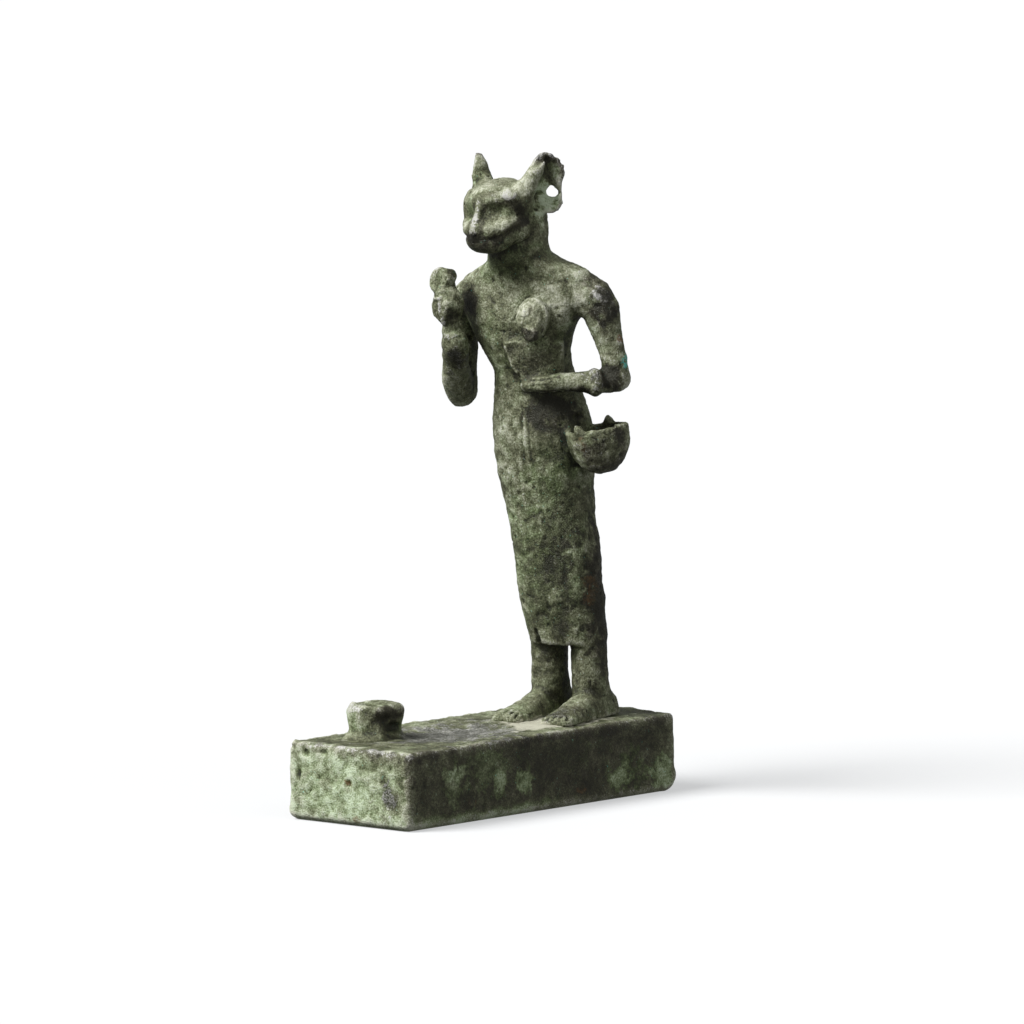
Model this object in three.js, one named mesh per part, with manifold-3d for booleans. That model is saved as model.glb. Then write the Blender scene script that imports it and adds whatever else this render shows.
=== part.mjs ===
// Bronze figure of a cat-headed woman standing at the back of a long plinth.
// Millimetres, +Z up, origin in the middle of the plinth's underside.
// The figure looks towards -Y; its own left side is +X.
import * as THREE from 'three';
import { mergeVertices } from 'three/addons/utils/BufferGeometryUtils.js';
import Module from 'manifold-3d';

const wasm = await Module();
wasm.setup();

// Plinth
const PLINTH_LENGTH = 63.8;
const PLINTH_WIDTH = 24.6;
const PLINTH_HEIGHT = 12.1;
const NEAR_CORNER_RADIUS = 0.9;
const FAR_CORNER_RADIUS = 1.4;
const TOP_EDGE_ROUND = 0.7;
const UNDER_EDGE_ROUND = 0.9;

// Broken foot of a lost companion piece at the front of the plinth
const STUMP_FROM_FRONT = 12.2;
const STUMP_OFF_MIDDLE = -4.9;
const STUMP_WIDTH = 5.6;
const STUMP_LENGTH = 8.0;
const STUMP_HEIGHT = 5.3;
const STUMP_FLARE = 0.9;

// Figure: every shape below is drawn for a height of DRAWN_HEIGHT and scaled to FIGURE_HEIGHT
const FIGURE_HEIGHT = 88.0;
const DRAWN_HEIGHT = 88.0;
const FIGURE_SCALE = FIGURE_HEIGHT / DRAWN_HEIGHT;
const ANKLES_FROM_BACK = 12.7;
const ANKLES_OFF_MIDDLE = 1.2;
const BODY_TURN = THREE.MathUtils.degToRad(12);
const HEAD_TURN = THREE.MathUtils.degToRad(-12);

// Hollow basket on the left hip
const BASKET_RADIUS = 4.9;
const BASKET_DEPTH = 7.2;
const BASKET_WALL = 0.95;
const BASKET_FLOOR = 1.2;
const BASKET_SINK = 1.6;

// Pierced left ear
const EAR_WALL = 0.95;
const EARRING_HOLE_RADIUS = 0.95;

// A size in millimetres, in the units that the figure is drawn in
const drawn = (size) => size / FIGURE_SCALE;

const BRONZE = { color: 0x4a4c3c, roughness: 0.62, metalness: 0.55 };
const PLINTH_BRONZE = { color: 0x4b5142, roughness: 0.66, metalness: 0.5 };

const vec = (x, y, z) => new THREE.Vector3(x, y, z);

// Value of each column of a table at a height or share, rounded through its neighbours
function read(table, key) {
  const last = table.length - 1;
  let i = 0;
  while (i < last - 1 && key > table[i + 1][0]) {
    i += 1;
  }
  const a = table[Math.max(0, i - 1)];
  const b = table[i];
  const c = table[i + 1];
  const d = table[Math.min(last, i + 2)];
  const span = c[0] - b[0];
  const t = Math.min(1, Math.max(0, (key - b[0]) / span));
  const row = [];
  for (let k = 1; k < b.length; k += 1) {
    const into = a === b ? c[k] - b[k] : ((c[k] - a[k]) / (c[0] - a[0])) * span;
    const out = d === c ? c[k] - b[k] : ((d[k] - b[k]) / (d[0] - b[0])) * span;
    const t2 = t * t;
    const t3 = t2 * t;
    row.push(
      (2 * t3 - 3 * t2 + 1) * b[k] + (t3 - 2 * t2 + t) * into
      + (3 * t2 - 2 * t3) * c[k] + (t3 - t2) * out,
    );
  }
  return row;
}

// Points round a rounded oval, with its own depth in front and behind
function oval(count, halfWidth, front, back, power) {
  const points = [];
  for (let i = 0; i < count; i += 1) {
    const angle = (2 * Math.PI * i) / count;
    const c = Math.cos(angle);
    const s = Math.sin(angle);
    const depth = s < 0 ? front : back;
    const x = halfWidth * Math.sign(c) * Math.abs(c) ** (2 / power);
    const y = depth * Math.sign(s) * Math.abs(s) ** (2 / power);
    points.push([x, y]);
  }
  return points;
}

// Closed solid through a row of rings of equally many points
function loft(rings, crescent = false) {
  const count = rings[0].length;
  const points = rings.flat();
  const faces = [];
  for (let r = 0; r + 1 < rings.length; r += 1) {
    for (let i = 0; i < count; i += 1) {
      const a = r * count + i;
      const b = r * count + ((i + 1) % count);
      faces.push([a, b, b + count], [a, b + count, a + count]);
    }
  }
  const end = (rings.length - 1) * count;
  if (crescent) {
    for (let i = 0; i < count / 2 - 1; i += 1) {
      const j = count - 1 - i;
      faces.push([i, j, j - 1], [i, j - 1, i + 1]);
      faces.push([end + i, end + j - 1, end + j], [end + i, end + i + 1, end + j - 1]);
    }
  } else {
    const middle = (ring) => ring.reduce((sum, p) => sum.add(p), vec(0, 0, 0)).divideScalar(count);
    const low = points.push(middle(rings[0])) - 1;
    const high = points.push(middle(rings[rings.length - 1])) - 1;
    for (let i = 0; i < count; i += 1) {
      const j = (i + 1) % count;
      faces.push([low, j, i], [high, end + i, end + j]);
    }
  }
  return solid(points, faces);
}

// Geometry from points and faces, turned so that its faces look outward
function solid(points, faces) {
  let volume = 0;
  const cross = vec(0, 0, 0);
  for (const [a, b, c] of faces) {
    volume += points[a].dot(cross.crossVectors(points[b], points[c]));
  }
  const index = faces.flatMap(([a, b, c]) => (volume > 0 ? [a, b, c] : [a, c, b]));
  const geometry = new THREE.BufferGeometry();
  const places = points.flatMap((point) => point.toArray());
  geometry.setAttribute('position', new THREE.Float32BufferAttribute(places, 3));
  geometry.setIndex(index);
  return geometry;
}

function weld(geometry) {
  const bare = geometry.clone();
  bare.deleteAttribute('normal');
  bare.deleteAttribute('uv');
  const welded = mergeVertices(bare, 1e-5);
  return new wasm.Manifold(new wasm.Mesh({
    numProp: 3,
    vertProperties: new Float32Array(welded.attributes.position.array),
    triVerts: new Uint32Array(welded.index.array),
  }));
}

function unweld(manifold) {
  const mesh = manifold.getMesh();
  const geometry = new THREE.BufferGeometry();
  geometry.setAttribute('position', new THREE.BufferAttribute(new Float32Array(mesh.vertProperties), 3));
  geometry.setIndex(new THREE.BufferAttribute(new Uint32Array(mesh.triVerts), 1));
  return geometry;
}

function join(geometries) {
  return geometries.map(weld).reduce((sum, piece) => sum.add(piece));
}

// Limb of round section along a curve; each stop is [x, y, z, radius]
function limb(stops, steps = 9, around = 12) {
  const curve = new THREE.CatmullRomCurve3(stops.map(([x, y, z]) => vec(x, y, z)));
  const radii = stops.map(([, , , radius], i) => [i / (stops.length - 1), radius]);
  const frames = curve.computeFrenetFrames(steps, false);
  const rings = [];
  const addRing = (step, along, shrink) => {
    const share = step / steps;
    const radius = read(radii, share)[0];
    const centre = curve.getPoint(share).addScaledVector(frames.tangents[step], along * radius);
    rings.push(oval(around, 1, 1, 1, 2).map(([x, y]) => centre.clone()
      .addScaledVector(frames.normals[step], x * radius * shrink)
      .addScaledVector(frames.binormals[step], y * radius * shrink)));
  };
  for (const angle of [80, 50, 22]) {
    const a = THREE.MathUtils.degToRad(angle);
    addRing(0, -Math.sin(a), Math.cos(a));
  }
  for (let step = 0; step <= steps; step += 1) {
    addRing(step, 0, 1);
  }
  for (const angle of [22, 50, 80]) {
    const a = THREE.MathUtils.degToRad(angle);
    addRing(steps, Math.sin(a), Math.cos(a));
  }
  return loft(rings);
}

// Egg-shaped lump, turned about X, Y and Z in degrees
function lump({ at, size, turn = [0, 0, 0], around = 12, rows = 7 }) {
  const geometry = new THREE.SphereGeometry(1, around, rows);
  geometry.rotateX(Math.PI / 2);
  geometry.scale(...size);
  const euler = new THREE.Euler(...turn.map((angle) => THREE.MathUtils.degToRad(angle)));
  geometry.applyMatrix4(new THREE.Matrix4().makeRotationFromEuler(euler));
  geometry.translate(...at);
  return geometry;
}

// Body in its dress: height, centre x and y, half width, depth in front and behind
const BODY = [
  [11.4, 0.0, -0.3, 6.1, 4.6, 4.8],
  [13.2, -0.2, -0.5, 6.4, 4.8, 4.9],
  [15.7, -0.55, -0.7, 6.55, 5.0, 5.0],
  [18.2, -0.8, -0.95, 6.8, 5.2, 5.0],
  [21.0, -1.05, -1.2, 6.85, 5.4, 5.0],
  [25.7, -1.3, -1.6, 6.9, 5.5, 5.1],
  [30.7, -2.0, -2.1, 6.85, 5.5, 5.4],
  [33.2, -2.25, -2.3, 7.0, 5.5, 5.7],
  [35.7, -2.5, -2.6, 7.35, 5.6, 6.0],
  [38.2, -2.6, -2.9, 7.75, 5.7, 6.2],
  [42.0, -2.8, -3.2, 8.0, 5.8, 6.2],
  [44.5, -2.85, -3.5, 8.0, 5.8, 5.9],
  [47.0, -3.0, -3.8, 7.8, 5.6, 5.4],
  [49.5, -3.2, -4.1, 7.3, 5.2, 4.8],
  [52.0, -3.4, -4.5, 6.65, 4.9, 4.4],
  [54.4, -3.8, -4.8, 6.25, 4.8, 4.3],
  [57.0, -4.5, -5.1, 6.85, 5.2, 4.4],
  [59.8, -4.9, -5.3, 8.1, 5.6, 4.6],
  [62.3, -4.7, -5.5, 9.6, 5.6, 4.8],
  [65.0, -4.4, -5.7, 11.2, 5.0, 4.6],
  [67.4, -4.2, -5.9, 11.6, 4.4, 4.1],
  [69.0, -4.2, -6.2, 10.6, 4.0, 3.7],
  [70.1, -4.3, -6.5, 8.4, 4.0, 3.6],
  [70.9, -4.5, -6.9, 6.3, 4.1, 3.9],
  [71.8, -4.8, -7.4, 4.9, 4.4, 4.3],
  [73.4, -4.8, -7.8, 4.6, 4.3, 4.3],
  [76.5, -4.7, -8.2, 4.6, 4.2, 4.3],
  [79.0, -4.8, -8.6, 4.5, 4.0, 4.2],
];
const LEAN_STARTS = 20;
const LEAN_FULL = 60;
const SIDE_LEAN = 0.09;
const FORWARD_LEAN = 0.09;
const BODY_POWER = 2.25;

function body() {
  const rings = [];
  const heights = [];
  for (let i = 0; i + 1 < BODY.length; i += 1) {
    heights.push(BODY[i][0]);
    if (BODY[i + 1][0] - BODY[i][0] > 4) {
      heights.push((BODY[i][0] + BODY[i + 1][0]) / 2);
    }
  }
  heights.push(BODY[BODY.length - 1][0]);
  for (const z of heights) {
    const [x, y, halfWidth, front, back] = read(BODY, z);
    const lean = THREE.MathUtils.clamp((z - LEAN_STARTS) / (LEAN_FULL - LEAN_STARTS), 0, 1);
    rings.push(oval(26, halfWidth, front, back, BODY_POWER).map(([dx, dy]) => vec(
      x + dx,
      y + dy,
      z + lean * (SIDE_LEAN * dx + FORWARD_LEAN * dy),
    )));
  }
  return loft(rings);
}

// Foot from heel to toes: distance behind the ankle, half width, height of its back
const FOOT = [
  [5.9, 1.3, 1.6],
  [5.2, 2.3, 3.2],
  [3.4, 2.9, 4.6],
  [0.5, 2.8, 5.2],
  [-2.5, 2.5, 4.4],
  [-5.5, 2.45, 3.3],
  [-8.5, 2.6, 2.4],
  [-11.0, 2.75, 1.9],
  [-12.6, 2.65, 1.6],
  [-13.5, 2.1, 1.1],
];
const ANKLE_SPACING = 7.2;

function foot(side) {
  const x = (side * ANKLE_SPACING) / 2;
  const rings = FOOT.map(([y, halfWidth, height]) => {
    const splay = side * 0.035 * (6 - y);
    const ring = [];
    for (let i = 0; i < 10; i += 1) {
      const angle = (Math.PI * i) / 9;
      const across = Math.sign(Math.cos(angle)) * Math.abs(Math.cos(angle)) ** 0.8;
      ring.push(vec(x + splay + halfWidth * across, y, 0.25 + (height - 0.25) * Math.sin(angle) ** 0.8));
    }
    ring.push(vec(x + splay - halfWidth * 0.9, y, 0));
    ring.push(vec(x + splay + halfWidth * 0.9, y, 0));
    return ring;
  });
  return loft(rings);
}

// Shin: height, centre y, half width, half depth
const SHIN = [
  [0.6, 1.1, 2.6, 4.0],
  [3.0, 0.6, 2.7, 3.9],
  [6.0, 0.1, 2.75, 3.3],
  [9.0, -0.1, 2.7, 3.1],
  [13.5, -0.3, 2.9, 3.2],
];

function shin(side) {
  const rings = SHIN.map(([z, y, halfWidth, halfDepth]) => {
    const x = (side * (ANKLE_SPACING - 0.03 * z)) / 2;
    return oval(18, halfWidth, halfDepth, halfDepth, 2.1).map(([dx, dy]) => vec(x + dx, y + dy, z));
  });
  return loft(rings);
}

// Head: rounded forms that run into each other, in the head's own frame. A ball has a middle and
// half sizes, a bar has stops of [x, y, z, radius], and run is how softly it meets the rest
const HEAD_AT = [-6.3, -9.7, 78.0];
const SKULL = { at: [0, 0.2, 1.3], size: [5.2, 5.5, 4.8] };
const FOREHEAD = { at: [0, -2.9, 2.7], size: [3.9, 3.1, 2.6], run: 1.2 };
const LEFT_EAR_ROOT = {
  stops: [[3.9, -1.1, 3.4, 1.9], [5.2, 0.1, 6.2, 1.5], [6.1, 1.0, 8.6, 1.0], [6.5, 1.6, 9.7, 0.7]],
  run: 1.6,
};
const RIGHT_EAR_ROOT = {
  stops: [[-4.0, -0.6, 3.2, 1.7], [-5.1, 0.9, 5.4, 1.2], [-5.5, 1.7, 6.8, 0.8]],
  run: 1.6,
};
const NOSE_RIDGE = { stops: [[0, -5.8, 3.5, 0.6], [0, -6.3, 0.9, 0.6], [0, -6.9, -1.7, 0.7]], run: 0.7 };
const MUZZLE = { at: [0, -4.8, -1.5], size: [2.8, 2.5, 2.1], run: 1.2 };
const CHEEK = {
  stops: [[2.0, -5.6, -1.6, 1.15], [3.2, -4.4, -0.9, 1.15], [4.2, -2.4, 0.1, 0.9]],
  run: 0.7,
};
const RIGHT_TEMPLE = { at: [-3.6, -3.3, 1.6], size: [1.35, 1.6, 2.6], run: 0.9 };
const CHIN = { at: [0, -4.3, -3.2], size: [2.9, 2.6, 2.0], run: 0.9 };
const JAW = { stops: [[1.6, -4.2, -3.3, 1.6], [3.6, -0.6, -1.6, 1.8]], run: 1.2 };
const LEFT_EYE = { at: [3.5, -6.1, 1.1], size: [2.0, 2.0, 1.35], run: 0.6, cut: true };
const RIGHT_EYE = { at: [-2.6, -7.0, 1.4], size: [1.3, 1.3, 1.0], run: 0.6, cut: true };
const LEFT_BROW = { at: [3.5, -2.8, 3.6], size: [1.8, 1.5, 1.15], run: 0.4 };
const RIGHT_BROW = { at: [-3.0, -2.6, 3.5], size: [1.3, 1.2, 0.9], run: 0.6 };
const MOUTH = {
  stops: [[0.6, -7.8, -2.5, 0.3], [2.0, -7.0, -2.9, 0.35], [3.4, -5.4, -2.4, 0.4], [4.6, -3.5, -1.2, 0.4]],
  run: 0.35,
  cut: true,
};

const mirrored = (bar) => ({ ...bar, stops: bar.stops.map(([x, ...rest]) => [-x, ...rest]) });

const HEAD = [
  SKULL, FOREHEAD, LEFT_EAR_ROOT, RIGHT_EAR_ROOT, NOSE_RIDGE, MUZZLE, CHEEK, mirrored(CHEEK),
  RIGHT_TEMPLE, CHIN, JAW, mirrored(JAW), LEFT_EYE, RIGHT_EYE, LEFT_BROW, RIGHT_BROW, MOUTH,
  mirrored(MOUTH),
];
const HEAD_MIDDLE = vec(0, -1.2, 0.6);
const HEAD_REACH = 13;
const CLOSE_ENOUGH = 0.001;
const STEP_SHARE = 0.5;

function toBall(point, { at, size }) {
  const halves = vec(...size);
  const scaled = point.clone().sub(vec(...at)).divide(halves);
  const length = scaled.length();
  return (length * (length - 1)) / scaled.divide(halves).length();
}

function toBar(point, { stops }) {
  const distances = stops.slice(1).map((end, i) => {
    const line = new THREE.Line3(vec(...stops[i]), vec(...end));
    const share = line.closestPointToPointParameter(point, true);
    const radius = THREE.MathUtils.lerp(stops[i][3], end[3], share);
    return line.at(share, vec(0, 0, 0)).distanceTo(point) - radius;
  });
  return Math.min(...distances);
}

function blend(a, b, run) {
  const share = THREE.MathUtils.clamp(0.5 + (0.5 * (b - a)) / run, 0, 1);
  return b + (a - b) * share - run * share * (1 - share);
}

// How far a point is outside the head
function outsideHead(point) {
  return HEAD.reduce((total, form) => {
    const away = form.stops ? toBar(point, form) : toBall(point, form);
    if (total === null) {
      return away;
    }
    return form.cut ? -blend(-total, away, form.run) : blend(total, away, form.run);
  }, null);
}

// Ball with its pole at the nose, each corner drawn out to the head's skin
function face() {
  const geometry = new THREE.SphereGeometry(1, 36, 19);
  const places = geometry.attributes.position;
  for (let i = 0; i < places.count; i += 1) {
    const way = new THREE.Vector3().fromBufferAttribute(places, i);
    const at = (reach) => HEAD_MIDDLE.clone().addScaledVector(way, reach);
    let reach = HEAD_REACH;
    let away = outsideHead(at(reach));
    while (away > CLOSE_ENOUGH) {
      reach -= Math.max(CLOSE_ENOUGH, STEP_SHARE * away);
      away = outsideHead(at(reach));
    }
    places.setXYZ(i, ...at(reach).toArray());
  }
  return geometry;
}

// Ear: share of its height, width, depth of its cup, thickness of the wall beside the forehead
const EAR = [
  [0.0, 4.4, 1.4, 1.0],
  [0.12, 6.6, 1.9, 1.6],
  [0.24, 7.5, 2.2, 2.1],
  [0.42, 7.6, 2.3, 2.8],
  [0.62, 6.8, 2.1, 3.3],
  [0.8, 5.0, 1.8, 2.4],
  [0.92, 3.0, 1.4, 1.2],
  [1.0, 1.6, 1.1, 0.7],
];
const LEFT_EAR = { side: 1, foot: [6.0, 1.0, 0.8], tip: [6.7, 2.2, 10.3], girth: 1 };
const RIGHT_EAR = { side: -1, foot: [-6.1, 1.0, 0.8], tip: [-7.1, 1.5, 9.3], girth: 0.86 };
const EAR_TURN = THREE.MathUtils.degToRad(64);

function earFrame({ side, foot: low, tip }) {
  return {
    out: vec(side * Math.sin(EAR_TURN), -Math.cos(EAR_TURN), 0),
    across: vec(side * Math.cos(EAR_TURN), Math.sin(EAR_TURN), 0),
    low: vec(...low),
    high: vec(...tip),
  };
}

function ear(which) {
  const { out, across, low, high } = earFrame(which);
  const arc = 8;
  const rings = EAR.map(([share, broad, depth, beside]) => {
    const width = broad * which.girth;
    const wall = Math.min(drawn(EAR_WALL), 0.3 * width, 0.6 * depth);
    const thick = Math.min(beside, 0.5 * width);
    const centre = low.clone().lerp(high, share);
    const at = (offset, angle, half, deep) => centre.clone()
      .addScaledVector(across, offset + half * Math.sin(angle))
      .addScaledVector(out, -deep * Math.cos(angle));
    const outer = [];
    const inner = [];
    for (let i = 0; i < arc; i += 1) {
      const angle = -Math.PI / 2 + (Math.PI * i) / (arc - 1);
      outer.push(at(0, angle, width / 2, depth));
      inner.push(at((thick - wall) / 2, -angle, (width - wall - thick) / 2, depth - wall));
    }
    return outer.concat(inner);
  });
  return loft(rings, true);
}

// Earring hole: share of the ear's height and distance from its middle towards the back
const HOLE_SHARE = 0.39;
const HOLE_ACROSS = 2.15;
const HOLE_LENGTH = 9;

function earringHole() {
  const { out, across, low, high } = earFrame(LEFT_EAR);
  const centre = low.clone().lerp(high, HOLE_SHARE).addScaledVector(across, HOLE_ACROSS);
  const radius = drawn(EARRING_HOLE_RADIUS);
  const hole = new THREE.CylinderGeometry(radius, radius, HOLE_LENGTH, 16);
  hole.applyQuaternion(new THREE.Quaternion().setFromUnitVectors(vec(0, 1, 0), out));
  hole.translate(...centre.toArray());
  return hole;
}

function head() {
  const whole = join([
    face(),
    ear(LEFT_EAR),
    ear(RIGHT_EAR),
  ]).subtract(weld(earringHole()));
  const geometry = unweld(whole);
  geometry.rotateZ(HEAD_TURN);
  geometry.translate(...HEAD_AT);
  return geometry;
}

// Left arm hangs out from the shoulder, then its forearm crosses in front of the waist
const LEFT_UPPER_ARM = [
  [0.6, -5.9, 66.4, 3.3],
  [5.0, -5.3, 66.3, 3.6],
  [7.6, -4.8, 64.6, 3.25],
  [8.6, -4.6, 61.2, 2.55],
  [9.7, -4.5, 57.6, 2.1],
  [10.6, -4.5, 53.8, 2.05],
];
const LEFT_FOREARM = [
  [10.7, -4.3, 53.3, 2.0],
  [8.6, -6.6, 53.0, 1.9],
  [6.1, -8.4, 53.0, 1.6],
  [3.4, -9.3, 52.9, 1.4],
  [0.9, -10.7, 52.5, 1.3],
  [-1.9, -10.4, 52.2, 1.0],
];

// Right arm bends up sharply at the elbow
const RIGHT_UPPER_ARM = [
  [-9.4, -5.9, 65.4, 3.2],
  [-13.4, -5.3, 65.1, 3.3],
  [-15.8, -4.6, 63.2, 3.0],
  [-16.7, -4.1, 59.4, 2.65],
  [-17.0, -3.7, 54.5, 2.5],
  [-17.0, -3.6, 49.8, 2.4],
];
const RIGHT_FOREARM = [
  [-17.0, -3.8, 49.6, 2.35],
  [-16.3, -6.6, 52.2, 2.4],
  [-15.0, -9.3, 54.8, 2.05],
  [-13.8, -11.6, 57.4, 2.1],
];

const RIGHT_FIST = { at: [-13.6, -12.2, 58.4], size: [2.1, 2.3, 2.6] };

function arms() {
  return [
    limb(LEFT_UPPER_ARM),
    limb(LEFT_FOREARM),
    limb(RIGHT_UPPER_ARM),
    limb(RIGHT_FOREARM, 7),
    lump(RIGHT_FIST),
  ];
}

// Broken sistrum rising from the right fist
const SISTRUM_STEM = [[-13.7, -12.4, 58.5, 1.5], [-14.3, -12.5, 61.0, 1.5], [-15.3, -12.5, 67.0, 1.5]];
const SISTRUM_BLOCK = { at: [-14.7, -12.6, 63.6], size: [2.0, 1.7, 2.7], turn: [0, -8, 0], around: 10 };
const SISTRUM_BREAK = { at: [-15.7, -12.5, 68.0], size: [2.0, 1.6, 2.0], turn: [0, 24, 0], around: 10 };

function sistrum() {
  return [limb(SISTRUM_STEM, 6, 10), lump(SISTRUM_BLOCK), lump(SISTRUM_BREAK)];
}

// Broad collar with a lion's head, held upright against the chest and turned a little to her left
const COLLAR_AT = vec(-1.1, -9.65, 58.8);
const COLLAR_TURN = THREE.MathUtils.degToRad(26);
const COLLAR_HALF_WIDTH = 4.6;
const COLLAR_DEPTH = 2.6;
const COLLAR_BULGE = 1.2;
const COLLAR_BEVEL = 0.35;
const COLLAR_LEAN = 0.08;
const LION_HEAD = { at: [-0.3, -11.4, 62.7], size: [2.65, 2.3, 3.4], turn: [0, 8, 17] };
const LION_MUZZLE = { at: [0.3, -12.9, 60.9], size: [1.4, 1.2, 1.5], around: 10, rows: 6 };

// Outline of the collar: share of its half width, height of its top and depth of its underside
const COLLAR = [
  [-1.0, 0.1, 0.9],
  [-0.9, 0.35, 2.1],
  [-0.7, 0.5, 4.2],
  [-0.45, 0.5, 5.7],
  [-0.15, 0.5, 6.5],
  [0.2, 0.9, 6.8],
  [0.4, 1.0, 6.8],
  [0.65, 0.5, 6.8],
  [0.9, 0.35, 6.7],
  [1.0, 0.2, 6.4],
];

function collar() {
  const along = vec(Math.cos(COLLAR_TURN), Math.sin(COLLAR_TURN), 0);
  const out = vec(Math.sin(COLLAR_TURN), -Math.cos(COLLAR_TURN), 0);
  const rings = COLLAR.map(([share, rise, depth]) => {
    const front = COLLAR_BULGE * (1 - share ** 2);
    const at = (forward, z) => COLLAR_AT.clone()
      .addScaledVector(along, share * COLLAR_HALF_WIDTH)
      .addScaledVector(out, forward + COLLAR_LEAN * z)
      .add(vec(0, 0, z));
    return [
      at(front, rise - COLLAR_BEVEL),
      at(front - COLLAR_BEVEL, rise),
      at(front - COLLAR_DEPTH, rise),
      at(front - COLLAR_DEPTH, -depth),
      at(front - COLLAR_BEVEL, -depth),
      at(front, COLLAR_BEVEL - depth),
    ];
  });
  return loft(rings);
}

function aegis() {
  return [collar(), lump(LION_HEAD), lump(LION_MUZZLE)];
}

// Basket: share of its radius, share of its depth below the rim
const BASKET_PROFILE = [
  [1.0, 0.0],
  [1.01, 0.16],
  [0.98, 0.34],
  [0.89, 0.56],
  [0.7, 0.79],
  [0.4, 0.95],
];
const BASKET_HEIGHT = 45.9;
const BASKET_SIDE = THREE.MathUtils.degToRad(-13);
const BASKET_TILT = [THREE.MathUtils.degToRad(4), THREE.MathUtils.degToRad(-9), 0];
const RIM_SHARE = 0.9;

// Middle of the rim, sunk a little into the side of the hip
function basketMiddle() {
  const [x, y, halfWidth] = read(BODY, BASKET_HEIGHT);
  const reach = halfWidth + drawn(BASKET_RADIUS) - drawn(BASKET_SINK);
  return vec(x + reach * Math.cos(BASKET_SIDE), y + reach * Math.sin(BASKET_SIDE), BASKET_HEIGHT);
}

function basketMatrix() {
  const tilt = new THREE.Matrix4().makeRotationFromEuler(new THREE.Euler(...BASKET_TILT));
  return tilt.setPosition(basketMiddle());
}

function turned(points) {
  const geometry = new THREE.LatheGeometry(points, 24);
  geometry.rotateX(Math.PI / 2);
  return geometry.applyMatrix4(basketMatrix());
}

function basketProfile(radius, depth) {
  const points = [new THREE.Vector2(0, -depth)];
  for (const [share, drop] of [...BASKET_PROFILE].reverse()) {
    points.push(new THREE.Vector2(radius * share, -depth * drop));
  }
  return points;
}

function basketOutside() {
  const points = basketProfile(drawn(BASKET_RADIUS), drawn(BASKET_DEPTH));
  points.push(new THREE.Vector2(0, 0));
  return turned(points);
}

function basketInside() {
  const radius = drawn(BASKET_RADIUS - BASKET_WALL);
  const points = basketProfile(radius, drawn(BASKET_DEPTH - BASKET_FLOOR));
  const above = drawn(BASKET_RADIUS / 2);
  points.push(new THREE.Vector2(radius, above));
  points.push(new THREE.Vector2(0, above));
  return turned(points);
}

// What is left of the loop handle: a knob round the forearm and stubs on the rim
const HANDLE_KNOB = { at: [8.5, -7.8, 53.0], size: [2.0, 1.5, 2.3], turn: [0, 0, -35], around: 10 };
const RIM_STUBS = [
  { side: THREE.MathUtils.degToRad(-101), size: [0.9, 0.8, 0.9] },
  { side: THREE.MathUtils.degToRad(93), size: [0.8, 0.8, 0.9] },
];

function handleRemains() {
  const place = basketMatrix();
  const reach = drawn(BASKET_RADIUS) * RIM_SHARE;
  const stubs = RIM_STUBS.map(({ side, size }) => {
    const at = vec(reach * Math.cos(side), reach * Math.sin(side), 0.3 * size[2]).applyMatrix4(place);
    return lump({ at: at.toArray(), size, around: 8, rows: 5 });
  });
  return [lump(HANDLE_KNOB), ...stubs];
}

function figure() {
  const solids = [
    body(),
    shin(1),
    shin(-1),
    foot(1),
    foot(-1),
    head(),
    ...arms(),
    ...sistrum(),
    ...aegis(),
    basketOutside(),
  ];
  const whole = join(solids).subtract(weld(basketInside())).add(join(handleRemains()));
  const geometry = unweld(whole);
  geometry.scale(FIGURE_SCALE, FIGURE_SCALE, FIGURE_SCALE);
  geometry.rotateZ(BODY_TURN);
  geometry.translate(ANKLES_OFF_MIDDLE, PLINTH_LENGTH / 2 - ANKLES_FROM_BACK, PLINTH_HEIGHT);
  return geometry;
}

// Outline of the plinth drawn in by a margin, with a near and a far corner radius
function plinthRing(margin, z) {
  const x = PLINTH_WIDTH / 2 - margin;
  const y = PLINTH_LENGTH / 2 - margin;
  const corners = [
    [x, y, FAR_CORNER_RADIUS, 0],
    [-x, y, FAR_CORNER_RADIUS, 90],
    [-x, -y, NEAR_CORNER_RADIUS, 180],
    [x, -y, NEAR_CORNER_RADIUS, 270],
  ];
  const ring = [];
  for (const [cx, cy, radius, start] of corners) {
    for (let i = 0; i < 6; i += 1) {
      const angle = THREE.MathUtils.degToRad(start + 18 * i);
      ring.push(vec(
        cx - Math.sign(cx) * radius + radius * Math.cos(angle),
        cy - Math.sign(cy) * radius + radius * Math.sin(angle),
        z,
      ));
    }
  }
  return ring;
}

function plinthBlock() {
  return loft([
    plinthRing(UNDER_EDGE_ROUND, 0),
    plinthRing(0.35 * UNDER_EDGE_ROUND, 0.3 * UNDER_EDGE_ROUND),
    plinthRing(0.1 * UNDER_EDGE_ROUND, UNDER_EDGE_ROUND),
    plinthRing(0, PLINTH_HEIGHT / 2),
    plinthRing(0.15 * TOP_EDGE_ROUND, PLINTH_HEIGHT - TOP_EDGE_ROUND),
    plinthRing(0.45 * TOP_EDGE_ROUND, PLINTH_HEIGHT - 0.3 * TOP_EDGE_ROUND),
    plinthRing(TOP_EDGE_ROUND, PLINTH_HEIGHT),
  ]);
}

// Stump: share of its height, growth of its outline
const STUMP = [
  [-0.2, 1.0],
  [0.07, 0.75],
  [0.25, 0.1],
  [0.53, 0.35],
  [0.81, 0.5],
  [0.94, 0.2],
  [1.0, -0.5],
];
const STUMP_POWER = 4;

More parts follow.
